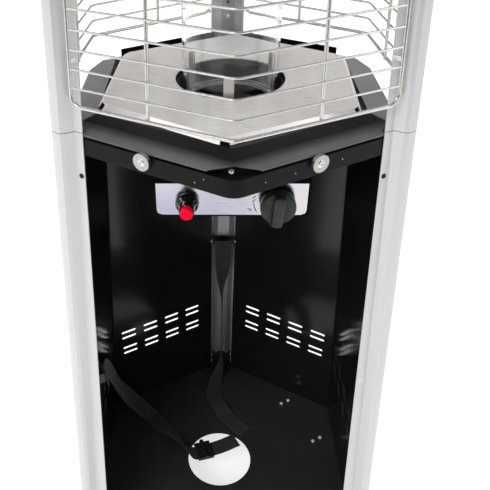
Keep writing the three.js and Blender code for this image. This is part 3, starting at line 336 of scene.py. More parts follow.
def paint(name, colour, roughness, specular, peel_size=500, peel_depth=0.1, mottle=0.15,
          dust=0.01, metallic=0.0):
    return finish(name, PAINT_SKIN, {
        "Colour": colour, "Roughness": roughness, "Peel size": peel_size,
        "Peel depth": peel_depth, "Mottle": mottle, "Dust": dust},
        {"Specular IOR Level": specular, "Metallic": metallic})


def metal(name, colour, roughness, metallic, grain=400, depth=0.1, smudge=0.1, tarnish=0.1):
    """Bare metal; its grain is one size, or one for each axis."""
    sizes = (grain, grain, grain) if isinstance(grain, int) else grain
    return finish(name, METAL_SKIN, {
        "Colour": colour, "Roughness": roughness, "Grain": sizes, "Grain depth": depth,
        "Smudge": smudge, "Tarnish": tarnish}, {"Metallic": metallic})


def moulding(name, colour, roughness, size, depth, bloom, shader=None):
    return finish(name, MOULDED_SKIN, {
        "Colour": colour, "Roughness": roughness, "Grain size": size, "Grain depth": depth,
        "Bloom": bloom}, shader or {})


def grey(value):
    return (value, value, value, 1)


def add_painted_slope_reflection(material, colour):
    """Lays the painted slope reflection between a finish's colour and its shader."""
    tree = material.node_tree
    base = tree.nodes["Principled BSDF"].inputs["Base Color"]
    dust_film_and_painted_reflection = new_node(tree, "ShaderNodeGroup", node_tree=PAINTED_SLOPE_REFLECTION)
    dust_film_and_painted_reflection.inputs["Painted reflection colour"].default_value = colour
    tree.links.new(base.links[0].from_socket, dust_film_and_painted_reflection.inputs["Colour"])
    tree.links.new(dust_film_and_painted_reflection.outputs["Colour"], base)


silver_paint = paint("silver_paint", (0.63, 0.625, 0.635, 1), 0.36, 0.5, peel_size=700,
                     peel_depth=0.12, mottle=0.02, dust=0.06, metallic=0.35)
hood_paint = paint("hood_paint", grey(0.0045), 0.14, 0.34, peel_depth=0.08, dust=0.012)
# The hood's slopes get a painted reflection: a grey tint, even on the sides and thickening down
# the front
add_painted_slope_reflection(hood_paint, grey(0.12))
black_band = paint("black_band", grey(0.003), 0.26, 0.13)
black_bracket = paint("black_bracket", grey(0.0015), 0.4, 0.04, dust=0.004)
black_tray = paint("black_tray", (0.027, 0.027, 0.03, 1), 0.2, 0.3, peel_size=450)
black_panel = paint("black_panel", (0.0095, 0.0095, 0.011, 1), 0.15, 0.35, peel_size=450,
                    peel_depth=0.04, dust=0.004)
black_satin = paint("black_satin", grey(0.012), 0.42, 0.4, peel_size=800, peel_depth=0.2,
                    mottle=0.1, dust=0.02)
mirror_steel = metal("mirror_steel", (0.94, 0.9, 0.87, 1), 0.3, 0.55, grain=(30, 5000, 5000),
                     depth=0.05, smudge=0.05, tarnish=0.04)
fascia_steel = metal("fascia_steel", (0.55, 0.54, 0.57, 1), 0.18, 1.0, grain=(60, 1400, 1400),
                     depth=0.02, smudge=0.03, tarnish=0.02)
magnet_steel = metal("magnet_steel", (0.44, 0.42, 0.4, 1), 0.34, 1.0, grain=500, depth=0.3,
                     tarnish=0.2)
scorched_steel = metal("scorched_steel", (0.075, 0.07, 0.066, 1), 0.4, 0.9, grain=300,
                       depth=0.2, smudge=0.15, tarnish=0.3)
seat_steel = metal("seat_steel", (0.7, 0.68, 0.66, 1), 0.36, 0.7, depth=0.2, tarnish=0.15)
wire_steel = metal("wire_steel", (0.68, 0.67, 0.65, 1), 0.2, 0.8, smudge=0.05, tarnish=0.04)
channel_steel = metal("channel_steel", (0.4, 0.41, 0.43, 1), 0.45, 0.6, grain=(900, 900, 25),
                      depth=0.15, tarnish=0.2)
zinc_steel = metal("zinc_steel", grey(0.6), 0.28, 1.0, grain=300, depth=0.2)
bright_zinc = metal("bright_zinc", (0.85, 0.85, 0.86, 1), 0.35, 0.3)
black_screw = metal("black_screw", grey(0.02), 0.3, 0.6, tarnish=0.0)
brass = metal("brass", (0.2, 0.14, 0.065, 1), 0.4, 1.0, grain=250, depth=0.2, tarnish=0.3)
copper = metal("copper", (0.66, 0.32, 0.2, 1), 0.28, 1.0, grain=250, tarnish=0.4)
knob_plastic = moulding("knob_plastic", (0.008, 0.008, 0.009, 1), 0.3, 1300, 0.3, 0.08,
                        {"Specular IOR Level": 0.3})
gloss_plastic = moulding("gloss_plastic", grey(0.004), 0.07, 500, 0.02, 0.01, {
    "Specular IOR Level": 0.5, "Coat Weight": 0.4, "Coat Roughness": 0.03})
red_plastic = moulding("red_plastic", (0.92, 0.0008, 0.03, 1), 0.35, 900, 0.05, 0.0,
                       {"Specular IOR Level": 0.08})
white_mark = moulding("white_mark", grey(0.75), 0.5, 900, 0.05, 0.05)
# Dark print for the fascia's marks, also the painted shade of the back channel's hole
dark_print_and_hole_shade = moulding("dark_print_and_hole_shade", grey(0.012), 0.55, 1500, 0.1, 0.02)
rubber = moulding("rubber", grey(0.018), 0.75, 700, 0.4, 0.15, {"Specular IOR Level": 0.3})
ceramic = moulding("ceramic", (0.8, 0.77, 0.7, 1), 0.35, 700, 0.05, 0.05,
                   {"Coat Weight": 0.3})


def make_glass():
    material, tree, principled = new_material("flame_tube_glass", {
        "Base Color": (0.99, 1.0, 0.995, 1), "Transmission Weight": 1.0, "IOR": 1.08,
        "Coat Weight": 0.8, "Coat Roughness": 0.12, "Coat IOR": 1.45})
    breath = ramp(tree, noise(tree, own_place(tree), 14.0, 4.0, 0.6), 0.5, 0.8, 0.0, 0.02)
    put_out(tree, principled, Roughness=breath)
    return material


# The weave, in radians: its picks in a metre along the strap, its ends across the width
PICKS = 2600.0
ENDS = 88.0


def make_webbing():
    """Plain-woven strap webbing: u runs along the strap in metres, v across it from 0 to 1."""
    material, tree, principled = new_material("strap_webbing", {
        "Specular IOR Level": 0.35, "Sheen Weight": 0.15, "Sheen Roughness": 0.5})
    uv = split_axes(tree, new_node(tree, "ShaderNodeUVMap", uv_map="strap").outputs["UV"])
    picks = maths(tree, "SINE", maths(tree, "MULTIPLY", uv["X"], PICKS))
    ends = maths(tree, "SINE", maths(tree, "MULTIPLY", uv["Y"], ENDS))
    rib = maths(tree, "ABSOLUTE", ends)
    height = maths(tree, "MULTIPLY_ADD", maths(tree, "MULTIPLY", picks, ends), 0.35, rib)
    edge = maths(tree, "ABSOLUTE", maths(tree, "SUBTRACT", uv["Y"], 0.5))
    selvedge = ramp(tree, edge, 0.42, 0.46)
    worn = ramp(tree, noise(tree, own_place(tree), 45.0, 4.0, 0.6), 0.4, 0.75)
    # Colour lighter at random where worn, with painted shade in the weave's valleys and lighter
    # rib tops, and lighter at the selvedges
    shade = maths(tree, "MULTIPLY_ADD", worn, 0.3, maths(tree, "MULTIPLY", rib, 0.35))
    shade = maths(tree, "MULTIPLY_ADD", selvedge, 0.15, shade)
    colour = mixed(tree, shade, (0.012, 0.012, 0.0125, 1), (0.06, 0.058, 0.058, 1))
    put_out(tree, principled, Base_Color=colour,
            Roughness=ramp(tree, rib, 0.0, 1.0, 0.75, 0.55),
            Normal=bump(tree, height, 0.0003, 0.6))
    return material


flame_tube_glass = make_glass()
strap_webbing = make_webbing()


# Carried-over CAD nodes
WELD_REACH = 0.00001
FLAT_ANGLE = math.radians(0.4)
BROKEN_ANGLE = math.radians(42)
SIDES = ("left", "right", "back")


def dress(material, edge, *names):
    """Gives CAD nodes a finish, merged flats and broken edges, with their meshes as packed."""
    for name in names:
        node = NODES[name]
        node.material_slots[0].material = material
        weld = node.modifiers.new("weld", "WELD")
        weld.merge_threshold = WELD_REACH
        flats = node.modifiers.new("flats", "DECIMATE")
        flats.decimate_type = "DISSOLVE"
        flats.angle_limit = FLAT_ANGLE
        if edge:
            bevel = node.modifiers.new("edges", "BEVEL")
            bevel.width = edge * MM
            bevel.segments = 2
            bevel.limit_method = "ANGLE"
            bevel.angle_limit = BROKEN_ANGLE
            bevel.use_clamp_overlap = True
        normals = node.modifiers.new("normals", "WEIGHTED_NORMAL")
        normals.keep_sharp = True


dress(silver_paint, 0.5, *[f"post_cover_{part}_{side}" for part in ("lower", "upper")
                           for side in SIDES])
dress(channel_steel, 0.4, *[f"post_channel_{side}" for side in SIDES])
dress(black_satin, 0.4, *[f"post_foot_bracket_{side}" for side in SIDES])
dress(hood_paint, 0.5, "hood")
dress(black_band, 0.5, "front_band")
dress(black_tray, 0.5, "base_tray")
dress(black_panel, 0.5, "top_plate", "roof")
dress(rubber, 0.6, *[f"foot_{side}" for side in SIDES], "wheel_front", "wheel_rear")
dress(mirror_steel, 0.3, "reflector_plate")
dress(black_bracket, 0.3, "control_bracket")
dress(black_satin, 0.3, "burner_well", "tilt_switch", "strap_bracket_back",
      "strap_bracket_left", "strap_buckle")
dress(black_satin, 0.2, "gas_inlet_nipple")
dress(seat_steel, 0.3, "tube_seat")
dress(scorched_steel, 0.3, "burner_head")
dress(magnet_steel, 0.3, "door_magnet_left", "door_magnet_right")
dress(zinc_steel, 0.3, "wheel_bracket", "wheel_axle", "burner_venturi", "tube_top_ring",
      "valve_spindle", *[f"roof_spacer_{side}" for side in BENDS])
dress(brass, 0.3, "gas_valve")
dress(brass, 0.0, "burner_gas_pipe", "pilot_burner")
dress(copper, 0.0, "pilot_gas_pipe", "thermocouple")
dress(ceramic, 0.2, "spark_electrode")
dress(flame_tube_glass, 0.0, "glass_tube")


# Mesh helpers
MERGE_REACH = 0.000002


def settle(name, mesh, material, body="heater", stands_for=(), smooth=35):
    """Makes a finished piece from a mesh: faces out, its edges shaded, riding on a body."""
    shape = bmesh.new()
    shape.from_mesh(mesh)
    bmesh.ops.remove_doubles(shape, verts=shape.verts, dist=MERGE_REACH)
    bmesh.ops.recalc_face_normals(shape, faces=shape.faces)
    for face in shape.faces:
        face.smooth = True
    for line in shape.edges:
        if len(line.link_faces) == 2:
            line.smooth = line.calc_face_angle(0) < math.radians(smooth)
    shape.to_mesh(mesh)
    shape.free()
    mesh.name = name
    mesh.materials.clear()
    mesh.materials.append(material)
    piece = in_scene(name, mesh)
    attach(piece, body)
    if stands_for:
        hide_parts(*stands_for)


def mesh_of(vertices, faces, edges=()):
    mesh = bpy.data.meshes.new("shape")
    mesh.from_pydata([tuple(vertex) for vertex in vertices], edges, faces)
    return mesh


def line_mesh(points, closed=False):
    """A mesh of edges alone through points."""
    count = len(points)
    edges = [(i, (i + 1) % count) for i in range(count if closed else count - 1)]
    return mesh_of(points, [], edges)


def band_faces(first, count):
    """The faces between a ring of points, numbered from first on, and the ring after it."""
    faces = []
    for k in range(count):
        following = (k + 1) % count
        faces.append((first + k, first + following, first + count + following,
                      first + count + k))
    return faces


def ruled(rings):
    """A closed mesh through rings of points that all have the same count, with flat ends."""
    count = len(rings[0])
    last = (len(rings) - 1) * count
    vertices = [point for ring in rings for point in ring]
    faces = [face for row in range(len(rings) - 1) for face in band_faces(row * count, count)]
    faces.append(tuple(range(count - 1, -1, -1)))
    faces.append(tuple(range(last, last + count)))
    return vertices, faces


def capped(rings, start, end):
    """A closed mesh through rings of points, with a fan to a point at each end."""
    count = len(rings[0])
    last = 1 + (len(rings) - 1) * count
    vertices = [start, *(point for ring in rings for point in ring), end]
    faces = [face for row in range(len(rings) - 1)
             for face in band_faces(1 + row * count, count)]
    for k in range(count):
        following = (k + 1) % count
        faces.append((0, 1 + following, 1 + k))
        faces.append((last + count, last + k, last + following))
    return vertices, faces


def turns(steps):
    return [2 * math.pi * k / steps for k in range(steps)]


def turned(profile, steps, place):
    """A closed turned mesh from (radius, length) rows that start and end on the axis."""
    rings = [[place(radius * math.cos(turn), radius * math.sin(turn), length)
              for turn in turns(steps)] for radius, length in profile[1:-1]]
    return capped(rings, place(0, 0, profile[0][1]), place(0, 0, profile[-1][1]))


def joined(parts):
    """One mesh out of several, each (vertices, faces) or a mesh."""
    shape = bmesh.new()
    for part in parts:
        mesh = part if isinstance(part, bpy.types.Mesh) else mesh_of(*part)
        shape.from_mesh(mesh)
        bpy.data.meshes.remove(mesh)
    mesh = bpy.data.meshes.new("joined")
    shape.to_mesh(mesh)
    shape.free()
    return mesh


# Geometry node helpers
def grow(tree, base, values):
    """The mesh that a geometry tree makes from a base mesh, with its named inputs set."""
    holder = in_scene("holder", base)
    modifier = holder.modifiers.new("grow", "NODES")
    modifier.node_group = tree
    for item in tree.interface.items_tree:
        if item.item_type == "SOCKET" and item.in_out == "INPUT" and item.name in values:
            modifier[item.identifier] = values[item.name]
    bpy.context.view_layer.update()
    graph = bpy.context.evaluated_depsgraph_get()
    mesh = bpy.data.meshes.new_from_object(holder.evaluated_get(graph), depsgraph=graph)
    bpy.data.objects.remove(holder)
    return mesh


def end_tree(tree, given, out, shape):
    """Ends a geometry tree: instances made real, and its finish set."""
    real = new_node(tree, "GeometryNodeRealizeInstances", {"Geometry": shape})
    done = new_node(tree, "GeometryNodeSetMaterial", {
        "Geometry": real.outputs["Geometry"], "Material": given.outputs["Finish"]})
    tree.links.new(done.outputs["Geometry"], out.inputs[0])
    return tree


def swept(tree, given, curve, corner_steps=6):
    """A round bar along a curve, its corners bent to the given radius."""
    rounded = new_node(tree, "GeometryNodeFilletCurve", {
        "Curve": curve, "Count": corner_steps, "Radius": given.outputs["Bend radius"]},
        mode="POLY")
    section = new_node(tree, "GeometryNodeCurvePrimitiveCircle", {
        "Resolution": given.outputs["Sides"], "Radius": given.outputs["Radius"]})
    solid = new_node(tree, "GeometryNodeCurveToMesh", {
        "Curve": rounded.outputs["Curve"], "Profile Curve": section.outputs["Curve"],
        "Fill Caps": True})
    return solid.outputs["Mesh"]


def make_scatter():
    """Sets a template out on the base mesh's points, turned and sized by their attributes."""
    tree, given, out = new_group("set_out_fixings", "GeometryNodeTree", [
        ("Places", "shape"), ("Template", "object"), ("Finish", "material")],
        [("Fixings", "shape")])
    template = new_node(tree, "GeometryNodeObjectInfo", {"Object": given.outputs["Template"]})
    turn, size = (new_node(tree, "GeometryNodeInputNamedAttribute", {"Name": name},
                           data_type="FLOAT_VECTOR").outputs["Attribute"]
                  for name in ("turn", "size"))
    rotation = new_node(tree, "FunctionNodeEulerToRotation", {"Euler": turn}).outputs[0]
    points = new_node(tree, "GeometryNodeMeshToPoints", {"Mesh": given.outputs["Places"]})
    placed = new_node(tree, "GeometryNodeInstanceOnPoints", {
        "Points": points.outputs[0], "Instance": template.outputs["Geometry"],
        "Rotation": rotation, "Scale": size})
    return end_tree(tree, given, out, placed.outputs["Instances"])


def make_perforated_sheet():
    """Cuts the set-out tools through the base sheet."""
    tree, given, out = new_group("perforated_sheet", "GeometryNodeTree", [
        ("Sheet", "shape"), ("Tools", "object"), ("Finish", "material")],
        [("Sheet", "shape")])
    tools = new_node(tree, "GeometryNodeObjectInfo", {"Object": given.outputs["Tools"]})
    cut = new_node(tree, "GeometryNodeMeshBoolean", operation="DIFFERENCE", solver="EXACT")
    tree.links.new(given.outputs["Sheet"], cut.inputs["Mesh 1"])
    tree.links.new(tools.outputs["Geometry"], cut.inputs["Mesh 2"])
    return end_tree(tree, given, out, cut.outputs["Mesh"])


def make_bent_wires():
    """Rows of wire between a lower and an upper bent line, round in section at their bend."""
    tree, given, out = new_group("bent_wires", "GeometryNodeTree", [
        ("Base", "shape"), ("Wires", "count", 43), ("Low start", "vector"),
        ("Low bend", "vector"), ("Low end", "vector"), ("High start", "vector"),
        ("High bend", "vector"), ("High end", "vector"), ("Radius", "value", 0.0013),
        ("Bend radius", "value", 0.02), ("Sides", "count", 8), ("Finish", "material")],
        [("Wires", "shape")])
    # A grid of three columns, with a row for each wire, spread between the bent lines
    grid = new_node(tree, "GeometryNodeMeshGrid", {
        "Size X": 1.0, "Size Y": 1.0, "Vertices X": 3, "Vertices Y": given.outputs["Wires"]})
    where = split_axes(tree, new_node(tree, "GeometryNodeInputPosition").outputs[0])
    column = maths(tree, "ADD", where["X"], 0.5)
    count = maths(tree, "ADD", given.outputs["Wires"], 1.0)
    rows = maths(tree, "SUBTRACT", given.outputs["Wires"], 1.0)
    step = maths(tree, "MULTIPLY_ADD", maths(tree, "ADD", where["Y"], 0.5), rows, 1.0)
    share = maths(tree, "DIVIDE", step, count)
    start, bend, end = (between(tree, share, given.outputs[f"Low {part}"],
                                given.outputs[f"High {part}"])
                        for part in ("start", "bend", "end"))
    # Mix clamps its factor, so the inner mix serves the first half and the outer the second
    first = maths(tree, "MULTIPLY", column, 2.0)
    second = maths(tree, "MULTIPLY_ADD", column, 2.0, -1.0)
    bent = between(tree, second, between(tree, first, start, bend), end)
    moved = new_node(tree, "GeometryNodeSetPosition", {
        "Geometry": grid.outputs["Mesh"], "Position": bent})
    # Edges that rise by more than a millimetre go, and the level ones stay as the wires
    ends = new_node(tree, "GeometryNodeInputMeshEdgeVertices")
    heights = [split_axes(tree, ends.outputs[key])["Z"]
               for key in ("Position 1", "Position 2")]
    rising = maths(tree, "ABSOLUTE", maths(tree, "SUBTRACT", *heights))
    upright = new_node(tree, "FunctionNodeCompare", {0: rising, 1: MM},
                       operation="GREATER_THAN").outputs[0]
    lines = new_node(tree, "GeometryNodeDeleteGeometry", {
        "Geometry": moved.outputs["Geometry"], "Selection": upright},
        domain="EDGE", mode="EDGE_FACE")
    curves = new_node(tree, "GeometryNodeMeshToCurve", {"Mesh": lines.outputs["Geometry"]})
    return end_tree(tree, given, out, swept(tree, given, curves.outputs["Curve"]))


def make_rod():
    """A round rod along the base mesh's line, with its corners bent to a radius."""
    tree, given, out = new_group("bent_rod", "GeometryNodeTree", [
        ("Line", "shape"), ("Radius", "value", 0.0021), ("Bend radius", "value", 0.01),
        ("Sides", "count", 10), ("Finish", "material")], [("Rod", "shape")])
    curve = new_node(tree, "GeometryNodeMeshToCurve", {"Mesh": given.outputs["Line"]})
    return end_tree(tree, given, out, swept(tree, given, curve.outputs["Curve"]))


SET_OUT = make_scatter()
PERFORATED = make_perforated_sheet()
BENT_WIRES = make_bent_wires()
BENT_ROD = make_rod()


def places_mesh(rows):
    """Points that carry a turn and a size: rows of place, facing, turn about it and scale."""
    mesh = mesh_of([row[0] for row in rows], [])
    turn = mesh.attributes.new("turn", "FLOAT_VECTOR", "POINT")
    size = mesh.attributes.new("size", "FLOAT_VECTOR", "POINT")
    for i, (_, facing, spin, scale) in enumerate(rows):
        upright = Vector(facing).to_track_quat("Z", "Y").to_matrix()
        turn.data[i].vector = (upright @ Matrix.Rotation(spin, 3, "Z")).to_euler()
        size.data[i].vector = (scale, scale, scale)
    return mesh


def scattered(template, rows, material):
    """One mesh made of copies of a template mesh at each row."""
    holder = in_scene("template", template)
    mesh = grow(SET_OUT, places_mesh(rows), {"Template": holder, "Finish": material})
    bpy.data.objects.remove(holder)
    return mesh


def perforated(sheet, tools, material):
    """A sheet with the tools' shapes cut through it."""
    holder = in_scene("tools", tools)
    mesh = grow(PERFORATED, sheet, {"Tools": holder, "Finish": material})
    bpy.data.objects.remove(holder)
    return mesh


def up_z(x, y, z):
    return Vector((x * MM, y * MM, z * MM))


def head_template(radius, height, socket=0.42, recess=0.55, steps=20, sides=6):
    """A domed screw head on the Z axis with a six-sided socket in its top."""
    rim, dome, fit = 0.35, 0.65, 0.92
    floor = height * (1 - recess)
    rows = [(radius, 0.0), (radius, height * rim)]
    rows += [(radius * math.cos(lift), height * (rim + dome * math.sin(lift)))
             for lift in (math.radians(25), math.radians(50), math.radians(68))]
    rows.append((radius * socket, height))
    rings = [[up_z(r * math.cos(turn), r * math.sin(turn), z) for turn in turns(steps)]
             for r, z in rows]
    half = math.pi / sides
    for z in (height, floor):
        ring = []
        for turn in turns(steps):
            reach = radius * socket * fit * math.cos(half) / math.cos(turn % (2 * half) - half)
            ring.append(up_z(reach * math.cos(turn), reach * math.sin(turn), z))
        rings.append(ring)
    return mesh_of(*capped(rings, up_z(0, 0, 0), up_z(0, 0, floor)))


# Side panels with slots
SLOT_LENGTH = 28.4
SLOT_WIDTH = 5.4
SLOT_PITCH = 45.2
SLOT_START = 54.6
SLOT_TOP = 197
SLOT_ROWS = (0, 14, 41, 55)
SLOT_GROUPS = 4
SLOT_END_STEPS = 8
TOOL_REACH = 8
PANEL_BEND = 6
PANEL_BEND_STEPS = 8
PANEL_TOP = -20
COVER_WALL = 1.6
GAP = 0.3


def bend_arc(azimuth, apothem, radius, steps):
    """Plan points round a panel's bend, from one flat to the next."""
    centre = (apothem - radius) / COS30
    angles = [math.radians(-30 + 60 * i / steps) for i in range(steps + 1)]
    return [polar(azimuth, centre + radius * math.cos(a), radius * math.sin(a))
            for a in angles]


def offset_chain(points, distance):
    """The same chain moved to its left, with mitred corners."""
    moved = []
    normals = []
    for a, b in zip(points, points[1:]):
        length = math.hypot(b[0] - a[0], b[1] - a[1])
        normals.append(((a[1] - b[1]) / length, (b[0] - a[0]) / length))
    for i, point in enumerate(points):
        last = normals[max(i - 1, 0)]
        following = normals[min(i, len(normals) - 1)]
        scale = distance / (1 + last[0] * following[0] + last[1] * following[1])
        moved.append((point[0] + (last[0] + following[0]) * scale,
                      point[1] + (last[1] + following[1]) * scale))
    return moved


def slot_tool():
    """A prism with round ends that cuts one slot, along X and through Z."""
    end = SLOT_WIDTH / 2
    straight = SLOT_LENGTH / 2 - end
    rim = []
    for sign in (1, -1):
        for k in range(SLOT_END_STEPS + 1):
            angle = math.radians(-90 + 180 * k / SLOT_END_STEPS)
            rim.append((sign * (straight + end * math.cos(angle)),
                        sign * end * math.sin(angle)))
    return mesh_of(*ruled([[up_z(x, y, z) for x, y in rim]
                           for z in (-TOOL_REACH, TOOL_REACH)]))


def panel_outline(bend, rise):
    """A side panel's section: a flange at each post, two flats and the bend between them."""
    inset = COVER_WALL + 2 * GAP
    near, far = (bend - 60, 1), (bend + 60, -1)
    chain = [behind_skin(*near, rise, PANEL_EDGE, inset),
             behind_skin(*near, rise, PANEL_EDGE, PANEL_INSET),
             *bend_arc(bend, skin_at(rise) - PANEL_INSET, PANEL_BEND, PANEL_BEND_STEPS),
             behind_skin(*far, rise, PANEL_EDGE, PANEL_INSET),
             behind_skin(*far, rise, PANEL_EDGE, inset)]
    outline = [*chain, *reversed(offset_chain(chain, PANEL_SHEET))]
    return [at(x, y, rise) for x, y in outline]


def slot_places(bend):
    """Where a panel's slots go: the same groups and rows on both of its flats."""
    rows = []
    for face, turn in ((bend + 30, 1), (bend - 30, -1)):
        for group in range(SLOT_GROUPS):
            for row in SLOT_ROWS:
                rise = FLOOR_RISE + SLOT_TOP - row
                apothem = skin_at(rise) - PANEL_INSET
                start = SLOT_START + group * SLOT_PITCH
                along = apothem * TAN30 - start - SLOT_LENGTH / 2
                x, y = polar(face, apothem, turn * along)
                rows.append((at(x, y, rise), (*polar(face, 1), 0), 0.0, 1.0))
    return rows


def build_side_panels():
    tool = slot_tool()
    for side in ("right", "left"):
        bend = BENDS[side]
        sheet = mesh_of(*ruled([panel_outline(bend, rise)
                                for rise in (FLOOR_RISE + GAP, PANEL_TOP)]))
        tools = scattered(tool, slot_places(bend), black_panel)
        settle(f"slotted_side_{side}", perforated(sheet, tools, black_panel), black_panel,
               stands_for=[f"side_panel_{side}"])


build_side_panels()


# Wire guards
GUARD_LOW = 18.35
GUARD_PITCH = 19.83
GUARD_WIRES = 43
GUARD_HIGH = GUARD_LOW + (GUARD_WIRES + 1) * GUARD_PITCH
GUARD_BEND_RADIUS = 208.6
GUARD_LEAN = 0.06
GUARD_ACROSS = 23.5
GUARD_STAND = 8.1
GUARD_ROD_SHARE = 0.517
FRAME_ROD = 2.1
FRAME_BEND = 12
FRAME_SIDES = 12
WIRE = 1.3
WIRE_BEND = 14
WIRE_SIDES = 8
ROD_OVERLAP = 0.9
LUG_HEIGHT = 5
LUG_HALF = 1
LUG_INSET = 45


def guard_corners(bend, rise):
    """A guard's line at one height: its edge at a post, its bend and its other edge."""
    vertex = polar(bend, GUARD_BEND_RADIUS - GUARD_LEAN * (rise - GUARD_LOW))
    plan = [behind_skin(bend - 60, 1, rise, GUARD_ACROSS, -GUARD_STAND), vertex,
            behind_skin(bend + 60, -1, rise, GUARD_ACROSS, -GUARD_STAND)]
    return [at(x, y, rise) for x, y in plan]


def guard_lug(azimuth, side, low):
    """A small lug that joins a guard's edge to a post cover."""
    tab = ((-LUG_HALF, -GUARD_STAND), (LUG_HALF, -GUARD_STAND), (LUG_HALF, -GAP),
           (-LUG_HALF, -GAP))
    return ruled([[at(*behind_skin(azimuth, side, rise, GUARD_ACROSS + across, depth), rise)
                   for across, depth in tab] for rise in (low, low + LUG_HEIGHT)])


def build_guard(side, bend):
    low_line, high_line = (guard_corners(bend, rise) for rise in (GUARD_LOW, GUARD_HIGH))
    ends = {f"{level} {part}": tuple(place)
            for level, line in (("Low", low_line), ("High", high_line))
            for part, place in zip(("start", "bend", "end"), line)}
    rod = {"Radius": FRAME_ROD * MM, "Bend radius": FRAME_BEND * MM,
           "Sides": FRAME_SIDES, "Finish": wire_steel}
    frame_line = line_mesh([*low_line, *reversed(high_line)], closed=True)
    parts = [grow(BENT_WIRES, mesh_of([(0, 0, 0)], []), {
        **ends, "Wires": GUARD_WIRES, "Radius": WIRE * MM, "Bend radius": WIRE_BEND * MM,
        "Sides": WIRE_SIDES, "Finish": wire_steel}), grow(BENT_ROD, frame_line, rod)]
    behind = (FRAME_ROD + WIRE) * ROD_OVERLAP * MM
    for end, facing in ((0, bend - 30), (2, bend + 30)):
        inward = Vector((*polar(facing, behind), 0))
        line = [row[1].lerp(row[end], GUARD_ROD_SHARE) - inward
                for row in (low_line, high_line)]
        parts.append(grow(BENT_ROD, line_mesh(line), {**rod, "Bend radius": 0.0}))
    for low in (GUARD_LOW + LUG_INSET, GUARD_HIGH - LUG_INSET - LUG_HEIGHT):
        for azimuth, edge in ((bend - 60, 1), (bend + 60, -1)):
            parts.append(guard_lug(azimuth, edge, low))
    settle(f"wire_guard_{side}", joined(parts), wire_steel,
           stands_for=[f"guard_{side}"], smooth=50)


for guard_side, guard_bend in BENDS.items():
    build_guard(guard_side, guard_bend)


# Control panel, with the knob on the right and the igniter on the left
FASCIA_FRONT = 150
CONTROL_RISE = -84
FASCIA_HALF = 83
FASCIA_TOP = 23
FASCIA_BOTTOM = -17
FASCIA_CORNER = 6
FASCIA_SHEET = 1
KNOB_ACROSS = 50.2
KNOB_HOLE = 6
KNOB_BACK = 5
KNOB_DISC_FRONT = 16
KNOB_RADIUS = 19.6
KNOB_STEPS = 72
GRIP_FRONT = 24.4
GRIP_LEAN = math.radians(-4)
GRIP_SWELL = 0.55
GRIP_END_STEPS = 12
IGNITER_ACROSS = -48.8
IGNITER_HOLE = 8.7
IGNITER_STEPS = 48
HOLE_STEPS = 40
HOLE_REACH = 4


def on_panel(x, y, out):
    """A point of the control panel: to the right, up, and out of the fascia."""
    return at(x, -FASCIA_FRONT - out, CONTROL_RISE + y)


def around_panel(centre):
    def place(x, y, out):
        return on_panel(centre + x, y, out)
    return place


def on_grip(x, y, out):
    """A point of the knob's grip, which leans as it stands in the photograph."""
    c, s = math.cos(GRIP_LEAN), math.sin(GRIP_LEAN)
    return on_panel(KNOB_ACROSS + x * c - y * s, x * s + y * c, out)


def build_knob():
    r, back, front = KNOB_RADIUS, KNOB_BACK, KNOB_DISC_FRONT
    skirt = turned([(0, back), (r - 2.6, back), (r - 0.4, back + 0.4), (r, back + 1),
                    (r, back + 8.4), (r - 0.2, back + 9.5), (r - 0.7, back + 10.4),
                    (r - 1.5, front - 0.12), (r - 2.4, front), (13, front - 0.3),
                    (0, front - 0.45)], KNOB_STEPS, around_panel(KNOB_ACROSS))
    # The grip: half-width, top and bottom reach at each depth out of the skirt
    rows = [(front - 3, 6.25, 19.3, 19.3), (front, 6.2, 19.2, 19.4),
            (front + 3, 6.1, 18.5, 19.5), (GRIP_FRONT - 2.6, 5.95, 17.9, 19.5),
            (GRIP_FRONT - 0.9, 5.6, 17.2, 19.2), (GRIP_FRONT - 0.2, 4.9, 16.4, 18.6),
            (GRIP_FRONT, 4.0, 15.6, 17.9)]
    rings = []
    for out, half, top, bottom in rows:
        swell = half * GRIP_SWELL
        ring = []
        for sign, reach in ((1, top), (-1, bottom)):
            for k in range(GRIP_END_STEPS + 1):
                angle = math.pi * k / GRIP_END_STEPS
                ring.append(on_grip(sign * half * math.cos(angle),
                                    sign * (reach - swell + swell * math.sin(angle)), out))
        rings.append(ring)
    settle("control_knob", joined([skirt, ruled(rings)]), knob_plastic,
           "knob", ["gas_knob"], smooth=40)


def build_pointer():
    """The light stroke in the top of the grip."""
    half, low, high = 0.8, 12.6, 15.2
    mark = ruled([[on_grip(x, y, out) for x, y in
                   ((-half, low), (half, low), (half, high), (-half, high))]
                  for out in (GRIP_FRONT - 1.2, GRIP_FRONT - 0.1)])
    settle("knob_pointer", mesh_of(*mark), white_mark, "knob")


def build_igniter():
    place = around_panel(IGNITER_ACROSS)
    barrel = [(0, -44), (8.2, -44), (8.4, -43.6), (8.4, 0.3), (13.1, 0.3), (13.3, 0.6),
              (13.3, 4.5), (13.0, 6.2), (12.3, 7.9), (11.2, 9.5), (9.9, 10.9), (9.1, 12.0),
              (8.85, 13.2), (8.85, 19.9), (8.65, 20.6), (8.2, 20.9), (7.5, 20.8),
              (7.25, 20.4), (7.25, 2.3), (0, 2.3)]
    settle("igniter_barrel", mesh_of(*turned(barrel, IGNITER_STEPS, place)), gloss_plastic,
           stands_for=["igniter_body"])
    button = [(0, 7.6), (6.9, 7.6), (6.9, 26.7), (6.75, 27.2), (6.4, 27.5), (5.9, 27.6),
              (3.2, 27.45), (0, 27.4)]
    settle("ignition_button", mesh_of(*turned(button, IGNITER_STEPS, place)), red_plastic,
           "button", ["igniter_button"])


